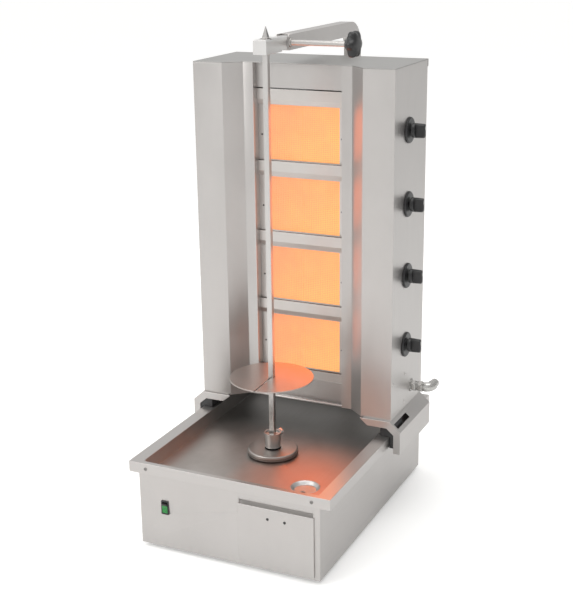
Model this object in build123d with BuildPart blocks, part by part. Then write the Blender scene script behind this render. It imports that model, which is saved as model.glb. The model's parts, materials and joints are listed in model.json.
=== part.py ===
from build123d import *
import math
import os

os.makedirs("parts", exist_ok=True)

# Vertical rotisserie broiler: a gas burner tower that slides on a base with a motor-driven spit.
# Millimetres. X points right, Y points from the front to the back, Z points up.
# The origin is on the floor that the machine stands on, in the middle between its four feet.

# ---------------------------------------------------------------- driving dimensions
SHEET = 2.0
FOOT_HEIGHT = 10.0

BASE_WIDTH = 436.0
BASE_DEPTH = 628.0
BASE_FRONT = -BASE_DEPTH / 2
BASE_REAR = BASE_DEPTH / 2

RIM_TOP = 205.0
RIM_WIDTH = 484.0
RIM_DROP = 25.0
TRAY_WIDTH = 422.0
TRAY_FRONT = -304.0
TRAY_REAR = 285.0
TRAY_FLOOR = 170.0
TRAY_CORNER = 10.0

SPIT_Y = -83.5
SPIT_SIDE = 12.0
SPIT_SHOULDER = 1110.6
SPIT_TIP = 1133.0
DISC_RADIUS = 95.0
DISC_THICKNESS = 3.0
DISC_Z = 355.0

DRAWER_LEFT = 27.0
DRAWER_RIGHT = 205.0
DRAWER_BOTTOM = 16.0
DRAWER_TOP = 156.0
DRAWER_REAR = -140.0
POCKET_TOP = 171.0
POCKET_RADIUS = 15.0

DRAIN_X = 140.0
DRAIN_Y = -214.0
DRAIN_RADIUS = 31.0

SWITCH_X = -155.0
SWITCH_Z = 107.0
SWITCH_TILT = 8.0

TOWER_HALF = 243.0
TOWER_FRONT = 36.0
TOWER_REAR = 245.0
TOWER_BOTTOM = 243.0
TOWER_TOP = 1041.0
WING_INNER = 169.5
BEVEL_INNER = 132.5
STRIP_Y = 67.5
RECESS_HALF = 107.6
RECESS_Y = 84.0

BURNERS = 4
BURNER_LOW_Z = 384.0
BURNER_PITCH = 166.0
WINDOW_HALF_WIDTH = 93.0
WINDOW_HALF_HEIGHT = 63.0
KNOB_RISE = 16.5
KNOB_Y = 128.0

CARRIAGE_HALF = 269.0
CARRIAGE_FRONT = 29.0
CARRIAGE_REAR = 238.0
CARRIAGE_LOW = 166.0
CARRIAGE_KNEE = 220.0
CARRIAGE_BAND = 17.0

ARM_HALF_WIDTH = 15.5
ARM_LOW = 1076.0
ARM_HIGH = 1109.0
ARM_WALL = 2.5
ARM_FRONT = -2.0
ARM_BEND_Y = 352.0
ARM_BEND_OUTER = 60.0
PIVOT_Y = 6.0
PIVOT_Z = (ARM_LOW + ARM_HIGH) / 2
CLAMP_ROD_RADIUS = 6.0

INLET_Y = 175.0
INLET_Z = 282.5

RUNNING_GAP = 0.06

burner_heights = [BURNER_LOW_Z + BURNER_PITCH * i for i in range(BURNERS)]
knob_heights = [z + KNOB_RISE for z in burner_heights]


def save(piece, label):
    """Labels a finished piece and writes its own STEP file."""
    piece.part.label = label
    export_step(piece.part, f"parts/{label}.step")


def sheet_section(points, thickness=SHEET):
    """Cross-section of a folded sheet: the points follow its outer surface and its body is on
    their right, or on their left if the thickness is negative."""
    runs = [(Vector(*end) - Vector(*start)).normalized() for start, end in zip(points, points[1:])]
    inner = []
    for index, (x, y) in enumerate(points):
        before = runs[max(index - 1, 0)]
        after = runs[min(index, len(runs) - 1)]
        middle = (before + after).normalized()
        reach = thickness / before.dot(middle)
        inner.append((x + middle.Y * reach, y - middle.X * reach))
    with BuildSketch() as section:
        Polygon(*points, *reversed(inner), align=None)
    return section.sketch


def mirrored(points):
    """The same outline points on the left side of the machine."""
    return [(-x, y) for x, y in points]


# ---------------------------------------------------------------- base box
SHELL_TOP = RIM_TOP - SHEET
VENT_COUNT = 7
VENT_PITCH = 12.0
VENT_CENTRE = (-120.0, 140.0)
VENT_LENGTH = 70.0
VENT_HEIGHT = 4.0
GLAND_X = -150.0
GLAND_Z = 60.0
GLAND_RADIUS = 10.0

# U-shaped wrap of left, rear and right walls, open at the front.
with BuildPart() as base_shell:
    wrap = [
        (-BASE_WIDTH / 2, BASE_FRONT + SHEET),
        (-BASE_WIDTH / 2, BASE_REAR),
        (BASE_WIDTH / 2, BASE_REAR),
        (BASE_WIDTH / 2, BASE_FRONT + SHEET),
    ]
    with BuildSketch(Plane.XY.offset(FOOT_HEIGHT)):
        add(sheet_section(wrap))
    extrude(amount=SHELL_TOP - FOOT_HEIGHT)
    rear_face = Plane(origin=(0, BASE_REAR, 0), x_dir=(1, 0, 0), z_dir=(0, -1, 0))
    with BuildSketch(rear_face):
        with Locations(VENT_CENTRE):
            with GridLocations(0, VENT_PITCH, 1, VENT_COUNT):
                SlotOverall(VENT_LENGTH, VENT_HEIGHT)
        with Locations((GLAND_X, GLAND_Z)):
            Circle(GLAND_RADIUS)
    extrude(amount=2 * SHEET, both=True, mode=Mode.SUBTRACT)
save(base_shell, "base_shell")

with BuildPart() as base_bottom_plate:
    with BuildSketch(Plane.XY.offset(FOOT_HEIGHT)):
        Rectangle(BASE_WIDTH - 2 * SHEET, BASE_DEPTH - 2 * SHEET)
    extrude(amount=SHEET)
save(base_bottom_plate, "base_bottom_plate")

# Front panel with the switch cut-out, the drawer opening and, as an insert in a window of its own,
# the finger pocket behind the drawer's top edge.
POCKET_FLOOR = 138.0
TUB_OPENING_TOP = 132.0
TUB_OPENING_BOTTOM = 22.0
TUB_OPENING_LEFT = 34.0
TUB_OPENING_RIGHT = 196.0
SWITCH_CUT_WIDTH = 16.4
SWITCH_CUT_HEIGHT = 29.4
POCKET_END = 2.0
POCKET_OVERRUN = 1.0
INSERT_GAP = 0.1
pocket_mid_x = (DRAWER_LEFT + DRAWER_RIGHT) / 2
pocket_half = (DRAWER_RIGHT - DRAWER_LEFT) / 2 - POCKET_END
panel_back = BASE_FRONT + SHEET
window_bottom = POCKET_FLOOR - SHEET - INSERT_GAP
window_top = POCKET_TOP + INSERT_GAP


def pocket_section(grow, mouth):
    """Side view of the finger pocket: its top rolls inwards and down to a straight back."""
    centre_y = BASE_FRONT + POCKET_RADIUS
    back = centre_y + grow
    floor = POCKET_FLOOR - grow
    lip = POCKET_TOP - POCKET_RADIUS + grow
    with BuildSketch() as section:
        with BuildLine():
            Line((centre_y - POCKET_RADIUS + grow, POCKET_TOP), (mouth, POCKET_TOP))
            Polyline((mouth, POCKET_TOP), (mouth, floor), (back, floor))
            Line((back, floor), (back, lip))
            if grow:
                Line((back, lip), (centre_y, lip))
            CenterArc((centre_y, POCKET_TOP), POCKET_RADIUS - grow, 180, 90)
        make_face()
    return section.sketch


with BuildPart() as base_front_panel:
    with BuildSketch(Plane.XZ.offset(-panel_back)):
        with Locations((0, (FOOT_HEIGHT + SHELL_TOP) / 2)):
            Rectangle(BASE_WIDTH, SHELL_TOP - FOOT_HEIGHT)
        with Locations((SWITCH_X, SWITCH_Z)):
            Rectangle(SWITCH_CUT_WIDTH, SWITCH_CUT_HEIGHT, mode=Mode.SUBTRACT)
        with Locations(
            (
                (TUB_OPENING_LEFT + TUB_OPENING_RIGHT) / 2,
                (TUB_OPENING_BOTTOM + TUB_OPENING_TOP) / 2,
            )
        ):
            Rectangle(
                TUB_OPENING_RIGHT - TUB_OPENING_LEFT,
                TUB_OPENING_TOP - TUB_OPENING_BOTTOM,
                mode=Mode.SUBTRACT,
            )
        with Locations((pocket_mid_x, (window_bottom + window_top) / 2)):
            Rectangle(
                2 * (pocket_half + SHEET + INSERT_GAP),
                window_top - window_bottom,
                mode=Mode.SUBTRACT,
            )
    extrude(amount=SHEET)
    with BuildSketch(Plane.YZ.offset(pocket_mid_x)):
        add(pocket_section(SHEET, BASE_FRONT))
    extrude(amount=pocket_half + SHEET, both=True)
    with BuildSketch(Plane.YZ.offset(pocket_mid_x)):
        add(pocket_section(0, BASE_FRONT - POCKET_OVERRUN))
    extrude(amount=pocket_half, both=True, mode=Mode.SUBTRACT)
save(base_front_panel, "base_front_panel")

FOOT_RADIUS = 18.0
FOOT_SPAN_X = 350.0
FOOT_SPAN_Y = 520.0
FOOT_TAPER = 6.0
with BuildPart() as rubber_feet:
    with BuildSketch(Plane.XY):
        with GridLocations(FOOT_SPAN_X, FOOT_SPAN_Y, 2, 2):
            Circle(FOOT_RADIUS)
    extrude(amount=FOOT_HEIGHT, taper=-FOOT_TAPER)
save(rubber_feet, "rubber_feet")

# ---------------------------------------------------------------- drip tray
TRAY_SKIN = 2.0
COLLAR_RADIUS = 22.0
COLLAR_HOLE = 20.0
COLLAR_HEIGHT = 7.0
DRAIN_CLEARANCE = 1.6
tray_mid_y = (TRAY_FRONT + TRAY_REAR) / 2
tray_length = TRAY_REAR - TRAY_FRONT

# Sunken pan with rims folded outwards and down: the side rims are the rails of the tower carriage.
with BuildPart() as drip_tray:
    with BuildSketch(Plane.XY.offset(RIM_TOP - RIM_DROP)):
        Rectangle(RIM_WIDTH, BASE_DEPTH + 2 * SHEET)
    extrude(amount=RIM_DROP)
    with BuildSketch(Plane.XY.offset(RIM_TOP - RIM_DROP)):
        Rectangle(RIM_WIDTH - 2 * SHEET, BASE_DEPTH)
    extrude(amount=RIM_DROP - SHEET, mode=Mode.SUBTRACT)
    with BuildSketch(Plane.XY.offset(TRAY_FLOOR - TRAY_SKIN)):
        with Locations((0, tray_mid_y)):
            RectangleRounded(
                TRAY_WIDTH + 2 * TRAY_SKIN, tray_length + 2 * TRAY_SKIN, TRAY_CORNER + TRAY_SKIN
            )
    extrude(amount=RIM_TOP - TRAY_FLOOR + TRAY_SKIN)
    with BuildSketch(Plane.XY.offset(TRAY_FLOOR)):
        with Locations((0, tray_mid_y)):
            RectangleRounded(TRAY_WIDTH, tray_length, TRAY_CORNER)
    extrude(amount=RIM_TOP - TRAY_FLOOR, mode=Mode.SUBTRACT)
    with BuildSketch(Plane.XY.offset(TRAY_FLOOR)):
        with Locations((0, SPIT_Y)):
            Circle(COLLAR_RADIUS)
    extrude(amount=COLLAR_HEIGHT)
    with BuildSketch(Plane.XY.offset(TRAY_FLOOR - TRAY_SKIN)):
        with Locations((0, SPIT_Y)):
            Circle(COLLAR_HOLE)
        with Locations((DRAIN_X, DRAIN_Y)):
            Circle(DRAIN_RADIUS + DRAIN_CLEARANCE)
    extrude(amount=COLLAR_HEIGHT + TRAY_SKIN, mode=Mode.SUBTRACT)
save(drip_tray, "drip_tray")

# Pressed dish in the tray floor with an off-centre outlet above the grease drawer.
DISH_DEPTH = 7.0
DISH_SLOPE = 7.0
DISH_SKIN = 1.5
DISH_FLANGE = 6.0
OUTLET_OFFSET = -14.0
DISH_OUTLET_RADIUS = 6.0
OUTLET_DROP = 22.0
with BuildPart() as drain_dish:
    with BuildSketch(Plane.XZ.offset(-DRAIN_Y)):
        with BuildLine():
            rim = DRAIN_X + DRAIN_RADIUS
            seat = TRAY_FLOOR - TRAY_SKIN
            Polyline(
                (DRAIN_X, TRAY_FLOOR - DISH_DEPTH),
                (rim - DISH_SLOPE, TRAY_FLOOR - DISH_DEPTH),
                (rim, TRAY_FLOOR),
                (rim + DISH_SKIN, TRAY_FLOOR),
                (rim + DISH_SKIN, seat),
                (rim + DISH_FLANGE, seat),
                (rim + DISH_FLANGE, seat - SHEET),
                (rim - DISH_SKIN, seat - SHEET),
                (rim - DISH_SLOPE, TRAY_FLOOR - DISH_DEPTH - DISH_SKIN),
                (DRAIN_X, TRAY_FLOOR - DISH_DEPTH - DISH_SKIN),
                close=True,
            )
        make_face()
    revolve(axis=Axis((DRAIN_X, DRAIN_Y, 0), (0, 0, 1)))
    with BuildSketch(Plane.XY.offset(TRAY_FLOOR - OUTLET_DROP)):
        with Locations((DRAIN_X, DRAIN_Y + OUTLET_OFFSET)):
            Circle(DISH_OUTLET_RADIUS + DISH_SKIN)
    extrude(amount=OUTLET_DROP - DISH_DEPTH - DISH_SKIN)
    with BuildSketch(Plane.XY.offset(TRAY_FLOOR - OUTLET_DROP)):
        with Locations((DRAIN_X, DRAIN_Y + OUTLET_OFFSET)):
            Circle(DISH_OUTLET_RADIUS)
    extrude(amount=OUTLET_DROP - DISH_DEPTH, mode=Mode.SUBTRACT)
save(drain_dish, "drain_dish")

# ---------------------------------------------------------------- spit drive
MODULE = 2.0
DRIVE_TEETH = 36
PINION_TEETH = 12
TOOTH_ADDENDUM = 1.5
TOOTH_DEDENDUM = 2.4
TOOTH_WIDTH_SHARE = 0.40
TOOTH_TIP_SHARE = 0.22
TOOTH_ROOT_SPREAD = 1.35
GEAR_BOTTOM = 122.0
GEAR_THICKNESS = 12.0
GEAR_BOSS_WALL = 6.0
GEAR_BOSS_RISE = 6.0
PINION_BOTTOM = 120.0
PINION_THICKNESS = 16.0
SHAFT_RADIUS = 8.0
SHAFT_BOTTOM = 111.0
SHAFT_TOP = 198.0
MOTOR_SHAFT_RADIUS = 5.0
MOTOR_SHAFT_BOTTOM = 96.0
MOTOR_SHAFT_SPACE = 2.0
gear_distance = MODULE * (DRIVE_TEETH + PINION_TEETH) / 2
pinion_y = SPIT_Y + gear_distance


def gear_section(teeth, phase):
    """Outline of a spur gear with straight-flanked teeth; one tooth points along phase degrees."""
    pitch_radius = MODULE * teeth / 2
    root = pitch_radius - TOOTH_DEDENDUM
    tip = pitch_radius + TOOTH_ADDENDUM
    tooth_angle = 360.0 / teeth
    root_half = tooth_angle * TOOTH_WIDTH_SHARE / 2 * TOOTH_ROOT_SPREAD
    tip_half = tooth_angle * TOOTH_TIP_SHARE / 2
    outline = []
    for tooth in range(teeth):
        middle = phase + tooth * tooth_angle
        for radius, swing in ((root, -root_half), (tip, -tip_half), (tip, tip_half), (root, root_half)):
            angle = math.radians(middle + swing)
            outline.append((radius * math.cos(angle), radius * math.sin(angle)))
    with BuildSketch() as section:
        Polygon(*outline, align=None)
    return section.sketch


with BuildPart() as drive_gear:
    with BuildSketch(Plane.XY.offset(GEAR_BOTTOM)):
        with Locations((0, SPIT_Y)):
            add(gear_section(DRIVE_TEETH, 90))
    extrude(amount=GEAR_THICKNESS)
    with BuildSketch(Plane.XY.offset(GEAR_BOTTOM)):
        with Locations((0, SPIT_Y)):
            Circle(SHAFT_RADIUS + GEAR_BOSS_WALL)
    extrude(amount=GEAR_THICKNESS + GEAR_BOSS_RISE)
    with BuildSketch(Plane.XY.offset(GEAR_BOTTOM)):
        with Locations((0, SPIT_Y)):
            Circle(SHAFT_RADIUS)
    extrude(amount=GEAR_THICKNESS + GEAR_BOSS_RISE, mode=Mode.SUBTRACT)
save(drive_gear, "drive_gear")

with BuildPart() as motor_pinion:
    with BuildSketch(Plane.XY.offset(PINION_BOTTOM)):
        with Locations((0, pinion_y)):
            add(gear_section(PINION_TEETH, -90 + 180.0 / PINION_TEETH))
    extrude(amount=PINION_THICKNESS)
    with BuildSketch(Plane.XY.offset(MOTOR_SHAFT_BOTTOM)):
        with Locations((0, pinion_y)):
            Circle(MOTOR_SHAFT_RADIUS)
    extrude(amount=PINION_BOTTOM - MOTOR_SHAFT_BOTTOM)
save(motor_pinion, "motor_pinion")

with BuildPart() as output_shaft:
    with BuildSketch(Plane.XY.offset(SHAFT_BOTTOM)):
        with Locations((0, SPIT_Y)):
            Circle(SHAFT_RADIUS)
    extrude(amount=SHAFT_TOP - SHAFT_BOTTOM)
save(output_shaft, "output_shaft")

GEARBOX_BOTTOM = 112.0
GEARBOX_TOP = 146.0
GEARBOX_WALL = 4.0
GEARBOX_DRIVE_RADIUS = 45.0
GEARBOX_PINION_RADIUS = 24.0
SHAFT_HOLE_GAP = 1.0


def gearbox_outline(inset):
    """Plan view of the gearbox: two circles joined by their common tangents."""
    with BuildSketch() as outline:
        with Locations((0, SPIT_Y)):
            Circle(GEARBOX_DRIVE_RADIUS - inset)
        with Locations((0, pinion_y)):
            Circle(GEARBOX_PINION_RADIUS - inset)
        make_hull()
    return outline.sketch


with BuildPart() as gearbox_housing:
    with BuildSketch(Plane.XY.offset(GEARBOX_BOTTOM)):
        add(gearbox_outline(0))
    extrude(amount=GEARBOX_TOP - GEARBOX_BOTTOM)
    with BuildSketch(Plane.XY.offset(GEARBOX_BOTTOM + GEARBOX_WALL)):
        add(gearbox_outline(GEARBOX_WALL))
    extrude(amount=GEARBOX_TOP - GEARBOX_BOTTOM - GEARBOX_WALL, mode=Mode.SUBTRACT)
    with BuildSketch(Plane.XY.offset(GEARBOX_BOTTOM)):
        with Locations((0, SPIT_Y)):
            Circle(SHAFT_RADIUS + RUNNING_GAP)
        with Locations((0, pinion_y)):
            Circle(MOTOR_SHAFT_RADIUS + SHAFT_HOLE_GAP)
    extrude(amount=GEARBOX_WALL, mode=Mode.SUBTRACT)
save(gearbox_housing, "gearbox_housing")

# Cover with the shaft bearing boss and four hollow pillars that hang the gearbox from the tray.
BOSS_RADIUS = 16.0
BOSS_HEIGHT = 12.0
PILLAR_RADIUS = 5.0
PILLAR_BORE = 2.5
PILLAR_SPAN_X = 66.0
PILLAR_SPAN_Y = 36.0
cover_top = GEARBOX_TOP + GEARBOX_WALL
with BuildPart() as gearbox_cover:
    with BuildSketch(Plane.XY.offset(GEARBOX_TOP)):
        add(gearbox_outline(0))
    extrude(amount=GEARBOX_WALL)
    with BuildSketch(Plane.XY.offset(cover_top)):
        with Locations((0, SPIT_Y)):
            Circle(BOSS_RADIUS)
    extrude(amount=BOSS_HEIGHT)
    with BuildSketch(Plane.XY.offset(cover_top)):
        with Locations((0, SPIT_Y)):
            with GridLocations(PILLAR_SPAN_X, PILLAR_SPAN_Y, 2, 2):
                Circle(PILLAR_RADIUS)
                Circle(PILLAR_BORE, mode=Mode.SUBTRACT)
    extrude(amount=TRAY_FLOOR - TRAY_SKIN - cover_top)
    with BuildSketch(Plane.XY.offset(GEARBOX_TOP)):
        with Locations((0, SPIT_Y)):
            Circle(SHAFT_RADIUS + RUNNING_GAP)
    extrude(amount=GEARBOX_WALL + BOSS_HEIGHT, mode=Mode.SUBTRACT)
save(gearbox_cover, "gearbox_cover")

MOTOR_RADIUS = 39.0
MOTOR_BOTTOM = 30.0
MOTOR_TOP = 106.0
MOTOR_ROUND = 4.0
MOTOR_NECK_RADIUS = 22.0
motor_bore_bottom = MOTOR_SHAFT_BOTTOM - MOTOR_SHAFT_SPACE
with BuildPart() as gear_motor:
    with BuildSketch(Plane.XY.offset(MOTOR_BOTTOM)):
        with Locations((0, pinion_y)):
            Circle(MOTOR_RADIUS)
    extrude(amount=MOTOR_TOP - MOTOR_BOTTOM)
    fillet(gear_motor.edges().filter_by(GeomType.CIRCLE), radius=MOTOR_ROUND)
    with BuildSketch(Plane.XY.offset(MOTOR_TOP)):
        with Locations((0, pinion_y)):
            Circle(MOTOR_NECK_RADIUS)
    extrude(amount=GEARBOX_BOTTOM - MOTOR_TOP)
    with BuildSketch(Plane.XY.offset(motor_bore_bottom)):
        with Locations((0, pinion_y)):
            Circle(MOTOR_SHAFT_RADIUS + RUNNING_GAP)
    extrude(amount=GEARBOX_BOTTOM - motor_bore_bottom, mode=Mode.SUBTRACT)
save(gear_motor, "gear_motor")

CAP_RADIUS = 58.0
CAP_TOP = 185.0
CAP_BOTTOM = 173.0
CAP_SKIN = 2.0
CAP_ROUND = 4.0
WASHER_RADIUS = 18.8
HUB_BOTTOM = 188.5
HUB_TOP = 222.5
HUB_LOW_RADIUS = 17.3
HUB_HIGH_RADIUS = 19.2
HUB_RIM = 2.5
HUB_RECESS = 4.0
HUB_LIP_SLOPE = 1.0
SOCKET_GAP = 0.15

# Round cap over the tray collar: it turns with the hub and keeps fat away from the shaft.
with BuildPart() as drip_cap:
    with BuildSketch(Plane.XZ.offset(-SPIT_Y)):
        with BuildLine():
            flat_end = CAP_RADIUS - CAP_ROUND
            shoulder = CAP_TOP - CAP_ROUND
            inner_wall = CAP_RADIUS - CAP_SKIN
            Line((SHAFT_RADIUS, CAP_TOP), (flat_end, CAP_TOP))
            RadiusArc((flat_end, CAP_TOP), (CAP_RADIUS, shoulder), CAP_ROUND)
            Polyline((CAP_RADIUS, shoulder), (CAP_RADIUS, CAP_BOTTOM), (inner_wall, CAP_BOTTOM))
            Line((inner_wall, CAP_BOTTOM), (inner_wall, shoulder))
            RadiusArc((inner_wall, shoulder), (flat_end, CAP_TOP - CAP_SKIN), CAP_SKIN - CAP_ROUND)
            Line((flat_end, CAP_TOP - CAP_SKIN), (SHAFT_RADIUS, CAP_TOP - CAP_SKIN))
            Line((SHAFT_RADIUS, CAP_TOP - CAP_SKIN), (SHAFT_RADIUS, CAP_TOP))
        make_face()
    revolve(axis=Axis((0, SPIT_Y, 0), (0, 0, 1)))
save(drip_cap, "drip_cap")

THUMB_ANGLE = 75.0
THUMB_Z = 214.5
THUMB_RADIUS = 2.5
THUMB_TIP = 8.2
THUMB_HEAD_START = 22.5
THUMB_HEAD_RADIUS = 8.0
THUMB_HEAD_LENGTH = 8.0
KNURLS = 12
KNURL_RADIUS = 0.9
thumb_direction = Vector(1, 0, 0).rotate(Axis.Z, THUMB_ANGLE)
thumb_plane = Plane(origin=(0, SPIT_Y, THUMB_Z), x_dir=(0, 0, 1), z_dir=thumb_direction)

# Tapered cup with a flat foot ring; it grips the foot of the spit.
with BuildPart() as drive_hub:
    with BuildSketch(Plane.XZ.offset(-SPIT_Y)):
        with BuildLine():
            Polyline(
                (0, CAP_TOP),
                (WASHER_RADIUS, CAP_TOP),
                (WASHER_RADIUS, HUB_BOTTOM),
                (HUB_LOW_RADIUS, HUB_BOTTOM),
                (HUB_HIGH_RADIUS, HUB_TOP),
                (HUB_HIGH_RADIUS - HUB_RIM, HUB_TOP),
                (HUB_HIGH_RADIUS - HUB_RIM - HUB_LIP_SLOPE, HUB_TOP - HUB_RECESS),
                (0, HUB_TOP - HUB_RECESS),
                close=True,
            )
        make_face()
    revolve(axis=Axis((0, SPIT_Y, 0), (0, 0, 1)))
    with BuildSketch(Plane.XY.offset(CAP_TOP)):
        with Locations((0, SPIT_Y)):
            Circle(SHAFT_RADIUS)
    extrude(amount=SHAFT_TOP - CAP_TOP, mode=Mode.SUBTRACT)
    with BuildSketch(Plane.XY.offset(SHAFT_TOP)):
        with Locations((0, SPIT_Y)):
            Rectangle(SPIT_SIDE + 2 * SOCKET_GAP, SPIT_SIDE + 2 * SOCKET_GAP)
    extrude(amount=HUB_TOP - SHAFT_TOP, mode=Mode.SUBTRACT)
    with BuildSketch(thumb_plane):
        Circle(THUMB_RADIUS + RUNNING_GAP)
    extrude(amount=THUMB_HEAD_START, mode=Mode.SUBTRACT)
save(drive_hub, "drive_hub")

with BuildPart() as hub_thumb_screw:
    with BuildSketch(thumb_plane.offset(THUMB_TIP)):
        Circle(THUMB_RADIUS)
    extrude(amount=THUMB_HEAD_START - THUMB_TIP)
    with BuildSketch(thumb_plane.offset(THUMB_HEAD_START)):
        Circle(THUMB_HEAD_RADIUS)
        with PolarLocations(THUMB_HEAD_RADIUS, KNURLS):
            Circle(KNURL_RADIUS, mode=Mode.SUBTRACT)
    extrude(amount=THUMB_HEAD_LENGTH)
save(hub_thumb_screw, "hub_thumb_screw")

SPIT_CHAMFER = 0.6
SPIT_POINT = 0.8

# Square bar with a four-sided point that goes up through the bearing block.
with BuildPart() as spit_rod:
    with BuildSketch(Plane.XY.offset(SHAFT_TOP)):
        with Locations((0, SPIT_Y)):
            Rectangle(SPIT_SIDE, SPIT_SIDE)
    extrude(amount=SPIT_SHOULDER - SHAFT_TOP)
    chamfer(spit_rod.edges().filter_by(Axis.Z), length=SPIT_CHAMFER)
    with BuildSketch(Plane.XY.offset(SPIT_SHOULDER)) as spit_base:
        with Locations((0, SPIT_Y)):
            Rectangle(SPIT_SIDE - SPIT_CHAMFER, SPIT_SIDE - SPIT_CHAMFER)
    with BuildSketch(Plane.XY.offset(SPIT_TIP)) as spit_point:
        with Locations((0, SPIT_Y)):
            Rectangle(SPIT_POINT, SPIT_POINT)
    loft(sections=[spit_base.sketch, spit_point.sketch])
save(spit_rod, "spit_rod")

SLOT_WIDTH = 3.0
SLOT_ANGLE = -88.0
SLOT_OVERRUN = 2.0
DISC_BORE = SPIT_SIDE + 0.5
with BuildPart() as meat_disc:
    with BuildSketch(Plane.XY.offset(DISC_Z)):
        with Locations((0, SPIT_Y)):
            Circle(DISC_RADIUS)
            Rectangle(DISC_BORE, DISC_BORE, mode=Mode.SUBTRACT)
        with Locations(Location((0, SPIT_Y), SLOT_ANGLE)):
            with Locations((DISC_RADIUS / 2, 0)):
                Rectangle(DISC_RADIUS + SLOT_OVERRUN, SLOT_WIDTH, mode=Mode.SUBTRACT)
    extrude(amount=DISC_THICKNESS)
save(meat_disc, "meat_disc")

COLLAR_OUTER = 17.0
COLLAR_LENGTH = 20.0
COLLAR_SCREW_RADIUS = 3.0
COLLAR_SCREW_PROUD = 8.0
collar_screw_plane = Plane(
    origin=(0, SPIT_Y, DISC_Z - COLLAR_LENGTH / 2),
    x_dir=(0, 0, 1),
    z_dir=(0, 1, 0),
)
with BuildPart() as disc_collar:
    with BuildSketch(Plane.XY.offset(DISC_Z - COLLAR_LENGTH)):
        with Locations((0, SPIT_Y)):
            Circle(COLLAR_OUTER)
            Rectangle(DISC_BORE, DISC_BORE, mode=Mode.SUBTRACT)
    extrude(amount=COLLAR_LENGTH)
    with BuildSketch(collar_screw_plane):
        Circle(COLLAR_SCREW_RADIUS)
    extrude(amount=COLLAR_OUTER + COLLAR_SCREW_PROUD)
    with BuildSketch(Plane.XY.offset(DISC_Z - COLLAR_LENGTH)):
        with Locations((0, SPIT_Y)):
            Rectangle(DISC_BORE, DISC_BORE)
    extrude(amount=COLLAR_LENGTH, mode=Mode.SUBTRACT)
save(disc_collar, "disc_collar")

# ---------------------------------------------------------------- grease drawer
DRAWER_PLATE = 3.0
DRAWER_EDGE_ROUND = 1.0
TUB_WALL = 1.5
TUB_GAP = 2.0
TUB_TOP = 130.0
TUB_BOTTOM = 24.0
tub_mid_x = (TUB_OPENING_LEFT + TUB_OPENING_RIGHT) / 2
tub_width = TUB_OPENING_RIGHT - TUB_OPENING_LEFT - 2 * TUB_GAP
tub_mid_y = (BASE_FRONT + DRAWER_REAR) / 2
tub_length = DRAWER_REAR - BASE_FRONT

with BuildPart() as drawer_front:
    with BuildSketch(Plane.XZ.offset(-BASE_FRONT)):
        with Locations(((DRAWER_LEFT + DRAWER_RIGHT) / 2, (DRAWER_BOTTOM + DRAWER_TOP) / 2)):
            Rectangle(DRAWER_RIGHT - DRAWER_LEFT, DRAWER_TOP - DRAWER_BOTTOM)
    extrude(amount=DRAWER_PLATE)
    fillet(drawer_front.faces().sort_by(Axis.Y)[0].edges(), radius=DRAWER_EDGE_ROUND)
save(drawer_front, "drawer_front")

with BuildPart() as drawer_tub:
    with BuildSketch(Plane.XY.offset(TUB_BOTTOM)):
        with Locations((tub_mid_x, tub_mid_y)):
            Rectangle(tub_width, tub_length)
    extrude(amount=TUB_TOP - TUB_BOTTOM)
    with BuildSketch(Plane.XY.offset(TUB_BOTTOM + TUB_WALL)):
        with Locations((tub_mid_x, tub_mid_y)):
            Rectangle(tub_width - 2 * TUB_WALL, tub_length - 2 * TUB_WALL)
    extrude(amount=TUB_TOP - TUB_BOTTOM, mode=Mode.SUBTRACT)
save(drawer_tub, "drawer_tub")

RUNNER_WIDTH = 14.0
RUNNER_GAP = 0.3
RUNNER_INSET = 12.0
RUNNER_END = 4.0
RUNNER_SHORTER = 10.0
runner_bottom = FOOT_HEIGHT + SHEET
runner_height = TUB_BOTTOM - RUNNER_GAP - runner_bottom
runner_mid_z = runner_bottom + runner_height / 2
runner_shift = tub_width / 2 - RUNNER_INSET

# Two inverted channels on the bottom plate that the tub slides on.
with BuildPart() as drawer_runners:
    for runner_x in (tub_mid_x - runner_shift, tub_mid_x + runner_shift):
        with BuildSketch(Plane.XZ.offset(-(DRAWER_REAR - RUNNER_END))):
            with Locations((runner_x, runner_mid_z)):
                Rectangle(RUNNER_WIDTH, runner_height)
            with Locations((runner_x, runner_mid_z - TUB_WALL)):
                Rectangle(RUNNER_WIDTH - 2 * TUB_WALL, runner_height, mode=Mode.SUBTRACT)
        extrude(amount=tub_length - RUNNER_SHORTER)
save(drawer_runners, "drawer_runners")

# ---------------------------------------------------------------- rocker switch
BEZEL_WIDTH = 18.0
BEZEL_HEIGHT = 33.0
BEZEL_PROUD = 2.0
ROCKER_WIDTH = 13.0
ROCKER_HALF_HEIGHT = 11.6
CAVITY_WIDTH = 13.8
CAVITY_HEIGHT = 26.4
TRUNNION_RADIUS = 1.5
SWITCH_BODY_DEPTH = 24.0
SWITCH_FIT = 0.2
BEZEL_CORNER = 1.5
CAVITY_DEPTH = 14.0
TRUNNION_HALF = 8.0
TRUNNION_END_GAP = 0.2
switch_pivot_y = BASE_FRONT + 4.0

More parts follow.
